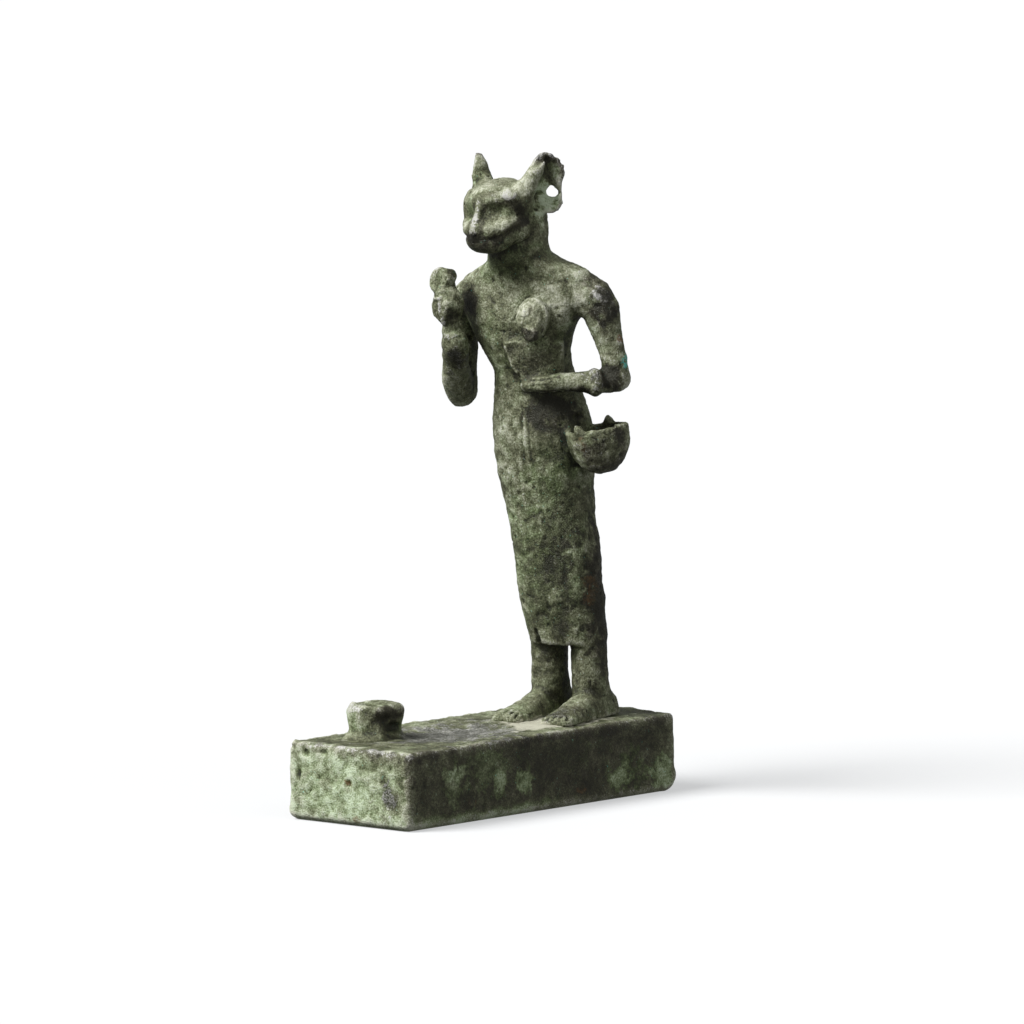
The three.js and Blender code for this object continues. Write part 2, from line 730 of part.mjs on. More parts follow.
function stump() {
  const y = -PLINTH_LENGTH / 2 + STUMP_FROM_FRONT;
  return loft(STUMP.map(([share, growth]) => {
    const grow = growth * STUMP_FLARE;
    const depth = STUMP_LENGTH / 2 + grow;
    const z = PLINTH_HEIGHT + share * STUMP_HEIGHT;
    return oval(16, STUMP_WIDTH / 2 + grow, depth, depth, STUMP_POWER)
      .map(([dx, dy]) => vec(STUMP_OFF_MIDDLE + dx, y + dy, z));
  }));
}

function node(name, geometry, look) {
  const flat = geometry.toNonIndexed();
  flat.computeVertexNormals();
  const mesh = new THREE.Mesh(flat, new THREE.MeshStandardMaterial(look));
  mesh.name = name;
  return mesh;
}

const group = new THREE.Group();
group.name = 'bastet_figure';
group.add(node('plinth', unweld(join([plinthBlock(), stump()])), PLINTH_BRONZE));
group.add(node('figure', figure(), BRONZE));

export default group;
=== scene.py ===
"""Looks of a small ancient bronze: a cat-headed standing figure on a long plinth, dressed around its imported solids.

Lengths in this file are millimetres unless a name says otherwise. A point on the figure is given in the figure's own
frame or in its head's frame, and a Placing turns both into the frame that the figure and the plinth share.
"""
import logging
import math
from dataclasses import dataclass
from enum import Enum
from typing import Iterable, Sequence

import bmesh
import bpy
import numpy as np
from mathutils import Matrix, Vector
from mathutils.bvhtree import BVHTree


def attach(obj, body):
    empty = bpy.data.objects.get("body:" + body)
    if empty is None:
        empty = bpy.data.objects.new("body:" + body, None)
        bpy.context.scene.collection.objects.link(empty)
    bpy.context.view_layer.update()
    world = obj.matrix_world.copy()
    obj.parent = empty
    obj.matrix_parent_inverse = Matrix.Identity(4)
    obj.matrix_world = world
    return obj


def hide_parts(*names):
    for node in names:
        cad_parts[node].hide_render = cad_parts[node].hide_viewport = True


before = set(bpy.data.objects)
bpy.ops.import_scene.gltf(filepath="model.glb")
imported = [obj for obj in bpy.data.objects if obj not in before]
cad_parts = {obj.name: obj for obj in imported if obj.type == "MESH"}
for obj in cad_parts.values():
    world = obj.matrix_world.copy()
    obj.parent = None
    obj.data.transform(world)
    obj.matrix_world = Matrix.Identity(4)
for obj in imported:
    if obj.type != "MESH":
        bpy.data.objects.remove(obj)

LOG = logging.getLogger("bronze")
MM = 0.001
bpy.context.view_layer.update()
SHELTER_BLOCK = 0.8  # Side of the blocks whose vertices share one look at the sky
SHELTER_CLEAR = 0.25  # Distance from the skin at which that look starts
GOLDEN_ANGLE = 2.399963
FAR_AWAY = 1e9  # Distance that every real one beats
Point = tuple[float, float, float]


# Numbers over a surface


def smoothstep(low: float, high: float, value: np.ndarray) -> np.ndarray:
    """Rise from 0 at low to 1 at high with a soft start and end."""
    share = np.clip((value - low) / (high - low), 0.0, 1.0)
    return share * share * (3.0 - 2.0 * share)


def turned(points: np.ndarray, turn: float) -> np.ndarray:
    """Turn points about Z by an angle in radians."""
    x, y, z = points.T
    return np.stack([x * math.cos(turn) - y * math.sin(turn), x * math.sin(turn) + y * math.cos(turn), z], 1)


def flips(mirrored: bool) -> list[np.ndarray]:
    """Scales that bring the side that is worked, or both sides in turn, to the given side."""
    return [np.array([side, 1.0, 1.0]) for side in ((1.0, -1.0) if mirrored else (1.0,))]


class Grain:
    """Seeded gradient noise over points, from about -1 to 1."""

    LATTICE = 256  # Cells after which the pattern repeats
    GAIN = 1.6  # Brings the raw sums to about -1 to 1
    SHIFT = 17.3  # Keeps the lattices of two octaves from lining up

    def __init__(self, seed: int) -> None:
        """Draw the lattice's directions.

        Args:
            seed: Number that fixes the pattern.
        """
        rng = np.random.default_rng(seed)
        self.order = np.concatenate([rng.permutation(self.LATTICE)] * 3)
        ways = rng.normal(size=(self.LATTICE, 3))
        self.ways = ways / np.linalg.norm(ways, axis=1)[:, None]

    def at(self, points: np.ndarray, size: float | Point) -> np.ndarray:
        """Sample one octave.

        Args:
            points: Places, one row each.
            size: Distance between lattice points, one for all axes or one each.

        Returns:
            One value a row.
        """
        place = points / np.asarray(size, float)
        cell = np.floor(place).astype(int)
        rest = place - cell
        ease = rest**3 * (rest * (rest * 6.0 - 15.0) + 10.0)
        total = np.zeros(len(points))
        for corner in range(8):
            step = np.array([corner & 1, corner >> 1 & 1, corner >> 2 & 1])
            near = (cell + step) & (self.LATTICE - 1)
            index = self.order[self.order[self.order[near[:, 0]] + near[:, 1]] + near[:, 2]]
            slope = ((rest - step) * self.ways[index]).sum(1)
            share = np.where(step, ease, 1.0 - ease).prod(1)
            total += slope * share
        return total * self.GAIN

    def layered(self, points: np.ndarray, size: float | Point, octaves: int, keep: float) -> np.ndarray:
        """Sum octaves, each half the size of the last.

        Args:
            points: Places, one row each.
            size: Lattice distance of the first octave.
            octaves: How many are summed.
            keep: Strength of each octave as a share of the one before.

        Returns:
            One value a row.
        """
        total = np.zeros(len(points))
        strength = 1.0
        step = np.asarray(size, float)
        for number in range(octaves):
            total += strength * self.at(points + self.SHIFT * number, step)
            strength *= keep
            step = step / 2.0
        return total


@dataclass(frozen=True)
class Placing:
    """A frame inside the shared one: turned about Z, then moved."""

    turn_deg: float = 0.0
    origin: Point = (0.0, 0.0, 0.0)
    inside: "Placing | None" = None

    def out(self, points: Iterable[Point]) -> np.ndarray:
        """Bring points of this frame into the shared frame.

        Args:
            points: Places in this frame.

        Returns:
            The same places in the shared frame, one row each.
        """
        placed = turned(np.asarray(list(points), float).reshape(-1, 3), math.radians(self.turn_deg))
        placed = placed + np.array(self.origin)
        return self.inside.out(placed) if self.inside else placed

    def into(self, points: np.ndarray) -> np.ndarray:
        """Bring points of the shared frame into this frame."""
        placed = (self.inside.into(points) if self.inside else points) - np.array(self.origin)
        return turned(placed, -math.radians(self.turn_deg))


SHARED = Placing()
FIGURE = Placing(12.0, (1.2, 19.2, 12.1))
HEAD = Placing(-12.0, (-6.3, -9.7, 78.0), FIGURE)


# Touches of the modelling tool


@dataclass(frozen=True)
class Dab:
    """A soft swelling, or a dent where lift is below nought.

    Attributes:
        at: Middle of the touch.
        reach: How far it is felt along X, Y and Z of its frame.
        lift: Height at the middle.
        mirrored: Whether the same touch is made on the other side of the frame's middle plane.
        flat_top: From 0, round, to near 1, flat with a steep edge.
    """

    at: Point
    reach: Point
    lift: float
    mirrored: bool = False
    flat_top: float = 0.0


@dataclass(frozen=True)
class Stroke:
    """A ridge, or a groove where lift is below nought, along a line near the surface.

    Attributes:
        points: The line.
        width: Distance from its middle at which it fades out.
        lift: Height along its middle.
        mirrored: Whether it is drawn on the other side as well.
        taper: Share of its length over which each end fades.
        rough: How much its height wavers, as a share.
    """

    points: tuple[Point, ...]
    width: float
    lift: float
    mirrored: bool = False
    taper: float = 0.15
    rough: float = 0.25


@dataclass(frozen=True)
class Plane:
    """A flat worked by a rasp: what lies near is drawn towards it.

    Attributes:
        at: A point on the flat.
        facing: The way that it faces.
        reach: How far it is felt along X, Y and Z of its frame.
        strength: Share of the way that the middle moves.
        mirrored: Whether the other side is worked as well.
    """

    at: Point
    facing: Point
    reach: Point
    strength: float
    mirrored: bool = False


@dataclass(frozen=True)
class Pull:
    """A grip that carries the skin along and swells or narrows what it holds.

    Attributes:
        at: Middle of the grip.
        reach: How far it is felt along X, Y and Z of its frame.
        by: How far its middle is carried.
        swell: Scale of what it holds, about its middle.
        mirrored: Whether the other side is gripped as well.
    """

    at: Point
    reach: Point
    by: Point = (0.0, 0.0, 0.0)
    swell: float = 1.0
    mirrored: bool = False


@dataclass(frozen=True)
class Form:
    """A rounded form of the head, a ball or a bar, that runs into the forms before it.

    Attributes:
        at: Middle of a ball.
        size: Half sizes of a ball.
        stops: Places and radii along a bar; a form without stops is a ball.
        run: How softly it meets the rest.
        cut: Whether it is cut out instead of laid on.
        mirrored: Whether the other side has it as well.
    """

    at: Point = (0.0, 0.0, 0.0)
    size: Point = (1.0, 1.0, 1.0)
    stops: tuple[tuple[float, float, float, float], ...] = ()
    run: float = 0.8
    cut: bool = False
    mirrored: bool = False

    def away(self, points: np.ndarray) -> np.ndarray:
        """Measure how far points lie from its skin.

        Args:
            points: Places in the form's frame.

        Returns:
            One distance a row, below nought inside it.
        """
        if not self.stops:
            scaled = (points - np.array(self.at)) / np.array(self.size)
            length = np.linalg.norm(scaled, axis=1)
            steepness = np.linalg.norm(scaled / np.array(self.size), axis=1)
            return length * (length - 1.0) / np.maximum(steepness, 1e-9)
        best = np.full(len(points), FAR_AWAY)
        for first, last in zip(self.stops[:-1], self.stops[1:]):
            low, high = np.array(first[:3]), np.array(last[:3])
            run = high - low
            share = np.clip(((points - low) @ run) / (run @ run), 0.0, 1.0)
            gap = np.linalg.norm(points - low - share[:, None] * run, axis=1)
            best = np.minimum(best, gap - first[3] - share * (last[3] - first[3]))
        return best


def blend(first: np.ndarray, second: np.ndarray, run: float) -> np.ndarray:
    """Join two distances softly, keeping the smaller."""
    share = np.clip(0.5 + 0.5 * (second - first) / run, 0.0, 1.0)
    return second + (first - second) * share - run * share * (1.0 - share)


def outside(points: np.ndarray, forms: Sequence[Form]) -> np.ndarray:
    """How far points lie outside a run of forms.

    Args:
        points: Places in the forms' frame.
        forms: Laid on or cut out, in order.

    Returns:
        One distance a row, below nought inside.
    """
    total = forms[0].away(points)
    for form in forms[1:]:
        for flip in flips(form.mirrored):
            away = form.away(points * flip)
            total = -blend(-total, away, form.run) if form.cut else blend(total, away, form.run)
    return total


class Tint(Enum):
    """Surface attributes that the patina reads. The dark, shelter and hollow values also darken as painted shade, and
    the pale and bare values carry painted highlights in a few places.
    """

    PALE = "pale"
    GREEN = "green"
    MINT = "mint"
    DARK = "dark_stain_and_shade"
    RUST = "rust"
    DUST = "dust"
    TURQUOISE = "turquoise"
    BARE_AND_HIGHLIGHT = "bare_and_highlight"
    RIDGE = "ridge"
    HOLLOW = "hollow"
    SHELTER_SHADE = "shelter_shade"


@dataclass(frozen=True)
class Stain:
    """A patch with a ragged edge.

    Attributes:
        at: Its middle.
        reach: How far it spreads along X, Y and Z of its frame.
        strength: Value in its middle; below nought it takes away.
        mirrored: Whether the other side has one as well.
        square: From 2, an oval, upwards to a patch with straight sides.
        ragged: How far its edge strays, as a share of its reach.
    """

    at: Point
    reach: Point
    strength: float = 1.0
    mirrored: bool = False
    square: float = 2.0
    ragged: float = 0.5


@dataclass(frozen=True)
class Streak:
    """A ragged line.

    Attributes:
        points: The line, near the surface.
        width: Distance from its middle at which it fades out.
        strength: Value along its middle; below nought it takes away.
        mirrored: Whether the other side has one as well.
        ragged: How far its edge strays, as a share of its width.
    """

    points: tuple[Point, ...]
    width: float
    strength: float = 1.0
    mirrored: bool = False
    ragged: float = 0.5


# The surface that is worked


class Casting:
    """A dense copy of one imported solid, whose vertices are moved as a sculptor moves wax."""

    CALM_STEPS = (0.5, -0.52)  # An inward step, and an outward one that wins back what the first draws in
    DRAW_ROUNDS = 4
    DRAW_STRIDE = 0.8  # Share of the way left that each round of drawing goes
    DRAW_PROBE = 0.02  # Distance over which drawing measures the slope
    DRAW_FLATTEST = 0.3  # Least squared slope that it reckons with
    DRAW_FIRM = 0.45  # Share of the reach within which the skin is drawn all the way
    PULL_FLAT = 0.35  # How flat the middle of a pull and of a rasped flat is felt
    PLANE_FLAT = 0.5
    STROKE_GRAIN = 1.3  # Size of the wavering along a stroke
    ROUGH_KEEP = 0.55  # Strength of each octave of roughness as a share of the one before
    PIT_SHIFT = 91.7  # Keeps the pits from following the roughness
    PIT_RISE = 0.35  # Noise from the rim of a pit to its full depth
    STRAY_NOISE = (2.8, 5, 0.7)  # Size, octaves and keep of the noise that frays the stains
    STAIN_EDGE = (0.4, 1.15)  # Shares of a stain's reach between which it fades
    RELIEF_GAIN = (8.0, 1.6)  # Weights of narrow and broad relief
    HIDE_FADE = 0.7  # Share by which bronze at the end of a look hides less
    SHELTER_GAIN = 1.3

    def __init__(self, node: str, name: str, cell: float, seed: int) -> None:
        """Copy a node's mesh, merge it and give it even faces.

        Args:
            node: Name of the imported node.
            name: Name of the new piece.
            cell: Side of the even faces.
            seed: Number that fixes its weathering.
        """
        source = bmesh.new()
        source.from_mesh(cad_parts[node].data)
        bmesh.ops.remove_doubles(source, verts=source.verts, dist=1e-7)
        bmesh.ops.triangulate(source, faces=source.faces)
        mesh = bpy.data.meshes.new(name)
        source.to_mesh(mesh)
        source.free()
        mesh.materials.clear()
        self.name = name
        self.piece = bpy.data.objects.new(name, mesh)
        bpy.context.scene.collection.objects.link(self.piece)
        self.grain = Grain(seed)
        remesh = self.piece.modifiers.new("even faces", "REMESH")
        remesh.mode = "VOXEL"
        remesh.voxel_size = cell * MM
        remesh.adaptivity = 0.0
        remesh.use_smooth_shade = True
        self.settle()
        self.tints: dict[Tint, np.ndarray] = {}

    def settle(self) -> None:
        """Make the modifiers' result the piece's own mesh and read it."""
        held = bpy.context.evaluated_depsgraph_get()
        mesh = bpy.data.meshes.new_from_object(self.piece.evaluated_get(held))
        self.piece.modifiers.clear()
        old = self.piece.data
        self.piece.data = mesh
        bpy.data.meshes.remove(old)
        mesh.name = self.name
        self.read()

    def read(self) -> None:
        """Take the vertices, edges and triangles out of the mesh as arrays."""
        mesh = self.piece.data
        count = len(mesh.vertices)
        flat = np.empty(count * 3, np.float32)
        mesh.vertices.foreach_get("co", flat)
        self.points = flat.reshape(-1, 3).astype(float) / MM
        ends = np.empty(len(mesh.edges) * 2, np.int32)
        mesh.edges.foreach_get("vertices", ends)
        self.ends = ends.reshape(-1, 2)
        mesh.calc_loop_triangles()
        corners = np.empty(len(mesh.loop_triangles) * 3, np.int32)
        mesh.loop_triangles.foreach_get("vertices", corners)
        self.corners = corners.reshape(-1, 3)
        self.degree = np.bincount(self.ends.ravel(), minlength=count).astype(float)

    def write(self) -> None:
        """Put the moved vertices back into the mesh."""
        self.piece.data.vertices.foreach_set("co", (self.points * MM).astype(np.float32).ravel())
        self.piece.data.update()

    def around(self, values: np.ndarray) -> np.ndarray:
        """Average each vertex's neighbours.

        Args:
            values: One row a vertex.

        Returns:
            The neighbours' means, in the same shape.
        """
        shape = values.shape
        columns = values.reshape(len(values), -1)
        total = np.zeros_like(columns, dtype=float)
        first, second = self.ends.T
        for column in range(columns.shape[1]):
            total[:, column] = np.bincount(first, columns[second, column], len(values))
            total[:, column] += np.bincount(second, columns[first, column], len(values))
        return (total / self.degree[:, None]).reshape(shape)

    def soften(self, values: np.ndarray, rounds: int, keep: float) -> np.ndarray:
        """Draw values towards their neighbours'.

        Args:
            values: One row a vertex.
            rounds: How often.
            keep: Share of its own value that a vertex keeps each time.

        Returns:
            The softened values.
        """
        for _ in range(rounds):
            values = keep * values + (1.0 - keep) * self.around(values)
        return values

    def normals(self, calm: int = 0) -> np.ndarray:
        """Outward directions at the vertices.

        Args:
            calm: How often each is averaged with its neighbours.

        Returns:
            One unit vector a row.
        """
        a, b, c = (self.points[self.corners[:, k]] for k in range(3))
        face = np.cross(b - a, c - a)
        out = np.zeros_like(self.points)
        for k in range(3):
            for axis in range(3):
                out[:, axis] += np.bincount(self.corners[:, k], face[:, axis], len(out))
        out = self.soften(out, calm, 0.5)
        return out / np.maximum(np.linalg.norm(out, axis=1), 1e-12)[:, None]

    def calm(self, rounds: int, mask: np.ndarray | float = 1.0) -> None:
        """Wear facets and seams away without drawing the form in.

        Args:
            rounds: Pairs of an inward and an outward step.
            mask: Share of the effect at each vertex.
        """
        share = np.broadcast_to(np.asarray(mask, float), (len(self.points),))[:, None]
        for _ in range(rounds):
            for amount in self.CALM_STEPS:
                self.points = self.points + share * amount * (self.around(self.points) - self.points)

    def refine(self, placing: Placing, zones: Sequence[tuple[Point, Point]]) -> None:
        """Halve the faces inside some zones.

        Args:
            placing: Frame of the zones.
            zones: Middle and reach of each.
        """
        self.write()
        work = bmesh.new()
        work.from_mesh(self.piece.data)
        work.verts.ensure_lookup_table()
        local = placing.into(self.points)
        inside = np.zeros(len(local), bool)
        for at, reach in zones:
            inside |= (((local - np.array(at)) / np.array(reach)) ** 2).sum(1) < 1.0
        edges = [edge for edge in work.edges if inside[edge.verts[0].index] and inside[edge.verts[1].index]]
        bmesh.ops.subdivide_edges(work, edges=edges, cuts=1, use_grid_fill=True, smooth=0.0)
        bmesh.ops.triangulate(work, faces=[face for face in work.faces if len(face.verts) > 4])
        work.to_mesh(self.piece.data)
        work.free()
        self.read()

    def draw_onto(self, placing: Placing, forms: Sequence[Form], reach: float, share: np.ndarray) -> None:
        """Draw the skin onto rounded forms wherever it already lies close to them.

        Args:
            placing: Frame of the forms.
            forms: Laid on or cut out, in order.
            reach: Distance at which the skin is left as it is.
            share: How much each vertex takes part.
        """
        local = placing.into(self.points)
        near = np.flatnonzero(np.abs(outside(local, forms)) < reach)
        spots = local[near]
        hold = share[near] * (1.0 - smoothstep(self.DRAW_FIRM * reach, reach, np.abs(outside(spots, forms))))
        step = self.DRAW_PROBE
        for _ in range(self.DRAW_ROUNDS):
            away = outside(spots, forms)
            slope = np.stack([(outside(spots + step * axis, forms) - away) / step for axis in np.eye(3)], 1)
            steep = np.maximum((slope**2).sum(1), self.DRAW_FLATTEST)
            spots = spots - (self.DRAW_STRIDE * away / steep)[:, None] * slope
        moved = placing.out(spots)
        self.points[near] += hold[:, None] * (moved - self.points[near])

    def _falloff(self, local: np.ndarray, at: Point, reach: Point, flat_top: float = 0.0) -> np.ndarray:
        """Share of a touch at each vertex, 1 at its middle and 0 past its reach."""
        away = np.sqrt((((local - np.array(at)) / np.array(reach)) ** 2).sum(1))
        return 1.0 - smoothstep(flat_top, 1.0, away)

    def work(self, placing: Placing, touches: Sequence[Dab | Stroke | Plane | Pull]) -> None:
        """Make touches one after the other.

        Args:
            placing: Frame that their points are given in.
            touches: What is done, in order.
        """
        for touch in touches:
            for flip in flips(touch.mirrored):
                local = placing.into(self.points) * flip
                if isinstance(touch, Dab):
                    share = self._falloff(local, touch.at, touch.reach, touch.flat_top)
                    near = share > 0
                    self.points[near] += (touch.lift * share[:, None] * self.normals(2))[near]
                elif isinstance(touch, Pull):
                    share = self._falloff(local, touch.at, touch.reach, self.PULL_FLAT)[:, None]
                    local = local + share * (np.array(touch.by) + (touch.swell - 1.0) * (local - np.array(touch.at)))
                    near = share[:, 0] > 0
                    self.points[near] = placing.out(local * flip)[near]
                elif isinstance(touch, Plane):
                    facing = np.array(touch.facing) / np.linalg.norm(touch.facing)
                    share = self._falloff(local, touch.at, touch.reach, self.PLANE_FLAT) * touch.strength
                    gap = (local - np.array(touch.at)) @ facing
                    local = local - (share * gap)[:, None] * facing
                    near = share > 0
                    self.points[near] = placing.out(local * flip)[near]
                else:
                    away, along = self._to_line(local, np.array(touch.points))
                    share = 1.0 - smoothstep(0.0, touch.width, away)
                    if touch.taper:
                        for ahead in (along, 1.0 - along):
                            share = share * smoothstep(0.0, touch.taper, ahead)
                    share = share * (1.0 + touch.rough * self.grain.at(self.points, self.STROKE_GRAIN))
                    near = share > 0
                    self.points[near] += (touch.lift * share[:, None] * self.normals(2))[near]

    def _to_line(self, local: np.ndarray, line: np.ndarray) -> tuple[np.ndarray, np.ndarray]:
        """Measure the way to a line of straight runs.

        Args:
            local: Places in the line's frame.
            line: Its points.

        Returns:
            Each place's distance, and the share of the line's length at which its nearest point lies.
        """
        runs = line[1:] - line[:-1]
        lengths = np.linalg.norm(runs, axis=1)
        starts = np.concatenate([[0.0], np.cumsum(lengths)])
        best = np.full(len(local), FAR_AWAY)
        along = np.zeros(len(local))
        for start, run, length, before in zip(line[:-1], runs, lengths, starts[:-1]):
            share = np.clip(((local - start) @ run) / (length * length), 0.0, 1.0)
            away = np.linalg.norm(local - start - share[:, None] * run, axis=1)
            nearer = away < best
            best = np.where(nearer, away, best)
            along = np.where(nearer, (before + share * length) / starts[-1], along)
        return best, along

    def roughen(self, size: float | Point, depth: float, octaves: int, mask: np.ndarray | float) -> None:
        """Move the skin in and out by noise.

        Args:
            size: Lattice distance of the first octave.
            depth: Height of the first octave.
            octaves: How many are summed.
            mask: Share of the effect at each vertex.
        """
        lift = self.grain.layered(self.points, size, octaves, self.ROUGH_KEEP) * depth * mask
        self.points = self.points + lift[:, None] * self.normals(1)

    def pit(self, size: float, depth: float, rarity: float, mask: np.ndarray | float = 1.0) -> None:
        """Sink small pits where noise runs high.

        Args:
            size: Lattice distance of the noise.
            depth: Depth of a pit's middle.
            rarity: Noise value at which a pit begins; the higher, the fewer.
            mask: Share of the effect at each vertex.
        """
        height = self.grain.at(self.points + self.PIT_SHIFT, size)
        sink = smoothstep(rarity, rarity + self.PIT_RISE, height) * depth * mask
        self.points = self.points - sink[:, None] * self.normals(1)

    def near(self, placing: Placing, at: Point, reach: Point, flat_top: float = 0.4) -> np.ndarray:
        """Share of each vertex in a zone."""
        return self._falloff(placing.into(self.points), at, reach, flat_top)

    def tint(self, tint: Tint) -> np.ndarray:
        """Give a tint's values, nought at first.

        Args:
            tint: Which one.

        Returns:
            One value a vertex.
        """
        if tint not in self.tints or len(self.tints[tint]) != len(self.points):
            self.tints[tint] = np.zeros(len(self.points))
        return self.tints[tint]

    def stain(self, placing: Placing, stains: dict[Tint, Sequence[Stain | Streak]]) -> None:
        """Lay ragged patches.

        Args:
            placing: Frame that they are given in.
            stains: The patches of each tint.
        """
        strays = self.grain.layered(self.points, *self.STRAY_NOISE)
        for values, stain in ((self.tint(tint), stain) for tint, some in stains.items() for stain in some):
            for flip in flips(stain.mirrored):
                local = placing.into(self.points) * flip
                if isinstance(stain, Streak):
                    away = self._to_line(local, np.array(stain.points))[0] / stain.width
                else:
                    gaps = np.abs((local - np.array(stain.at)) / np.array(stain.reach))
                    away = (gaps**stain.square).sum(1) ** (1.0 / stain.square)
                values += stain.strength * (1.0 - smoothstep(*self.STAIN_EDGE, away + stain.ragged * strays))

    def read_relief(self, fine: int = 3, broad: int = 16) -> None:
        """Fill the ridge and hollow tints from how the skin bends.

        Args:
            fine: Rounds of averaging for narrow relief.
            broad: Rounds for broad relief.
        """
        out = self.normals(2)
        bend = np.zeros(len(self.points))
        for rounds, weight in zip((fine, broad), self.RELIEF_GAIN):
            bend += weight * ((self.points - self.soften(self.points, rounds, 0.4)) * out).sum(1)
        bend = self.soften(bend, 1, 0.5)
        self.tints[Tint.RIDGE] = np.clip(bend, 0.0, 1.0)
        self.tints[Tint.HOLLOW] = np.clip(-bend, 0.0, 1.0)

    def read_shelter(self, rays: int = 14, reach: float = 9.0, others: Sequence["Casting"] = ()) -> None:
        """Fill the shelter-shade tint: how much of the sky over each vertex the bronze itself hides, which the patina
        paints as shade.

        Args:
            rays: Directions tried at each vertex.
            reach: How far a direction looks.
            others: Castings that hide it as well.
        """
        corners, points, count = [self.corners], [self.points], len(self.points)
        for other in others:
            corners.append(other.corners + count)
            points.append(other.points)
            count += len(other.points)
        points, corners = np.concatenate(points).tolist(), np.concatenate(corners).tolist()
        tree = BVHTree.FromPolygons(points, corners, all_triangles=True)
        out = self.normals(2)
        blocks = np.floor(self.points / SHELTER_BLOCK).astype(int)
        _, chosen, block = np.unique(blocks, axis=0, return_index=True, return_inverse=True)
        block = block.ravel()
        facing = out[chosen]
        turns = np.arange(rays) * GOLDEN_ANGLE
        heights = np.sqrt((np.arange(rays) + 0.5) / rays)
        widths = np.sqrt(1 - heights**2)
        ways = np.stack([np.cos(turns) * widths, np.sin(turns) * widths, heights], 1)
        helper = np.where(np.abs(facing[:, 2:3]) < 0.9, np.array([[0.0, 0.0, 1.0]]), np.array([[1.0, 0.0, 0.0]]))
        side = np.cross(helper, facing)
        side /= np.linalg.norm(side, axis=1)[:, None]
        other_side = np.cross(facing, side)
        hidden = np.zeros(len(chosen))
        starts = [Vector(p) for p in self.points[chosen] + facing * SHELTER_CLEAR]
        for way in ways:
            rows = side * way[0] + other_side * way[1] + facing * way[2]
            hits = [tree.ray_cast(start, Vector(row), reach)[3] for start, row in zip(starts, rows)]
            hidden += np.array([0.0 if hit is None else 1.0 - self.HIDE_FADE * hit / reach for hit in hits])
        shelter_shade = self.soften((hidden / rays)[block], 8, 0.4)
        self.tints[Tint.SHELTER_SHADE] = np.clip(shelter_shade * self.SHELTER_GAIN, 0.0, 1.0)

    def finish(self, node: str, material: bpy.types.Material) -> None:
        """Write the mesh and its tints and dress it.

        Args:
            node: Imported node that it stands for.
            material: Its patina.
        """
        self.write()
        mesh = self.piece.data
        for tint in Tint:
            layer = mesh.attributes.new(tint.value, "FLOAT", "POINT")
            layer.data.foreach_set("value", np.clip(self.tint(tint), -1.0, 1.5).astype(np.float32))
        mesh.materials.append(material)
        mesh.polygons.foreach_set("use_smooth", np.ones(len(mesh.polygons), bool))
        mesh.update()
        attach(self.piece, "root")
        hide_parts(node)
        LOG.info("%s: %d vertices, %d triangles", self.name, len(self.points), len(self.corners))


# Shader maths


class Wire:
    """A node's output that takes part in sums, products and comparisons."""

    def __init__(self, bench: "Bench", socket: bpy.types.NodeSocket) -> None:
        """Keep a socket and the bench that it is on."""
        self.bench = bench
        self.socket = socket

    def _math(self, operation: str, first: "Wire | float", second: "Wire | float") -> "Wire":
        """Add a Math node."""
        return self.bench.node("ShaderNodeMath", {"operation": operation}, {0: first, 1: second})

    def __add__(self, other: "Wire | float") -> "Wire":
        """Sum."""
        return self._math("ADD", self, other)

    __radd__ = __add__

    def __mul__(self, other: "Wire | float") -> "Wire":
        """Product."""
        return self._math("MULTIPLY", self, other)

    __rmul__ = __mul__

    def __sub__(self, other: "Wire | float") -> "Wire":
        """Difference."""
        return self._math("SUBTRACT", self, other)

    def __rsub__(self, other: float) -> "Wire":
        """Difference from a number."""
        return self._math("SUBTRACT", other, self)

    def clamp(self) -> "Wire":
        """Hold between 0 and 1."""
        return self.bench.node("ShaderNodeClamp", {}, {"Value": self})

    def within(self, low: float, high: float) -> "Wire":
        """Hold between two numbers."""
        return self.bench.node("ShaderNodeClamp", {}, {"Value": self, "Min": low, "Max": high})

    def between(self, low: float, high: float) -> "Wire":
        """Rise softly from 0 at low to 1 at high."""
        settings = {"interpolation_type": "SMOOTHSTEP", "clamp": True}
        return self.bench.node("ShaderNodeMapRange", settings, {"Value": self, "From Min": low, "From Max": high})


Colour = tuple[float, float, float]


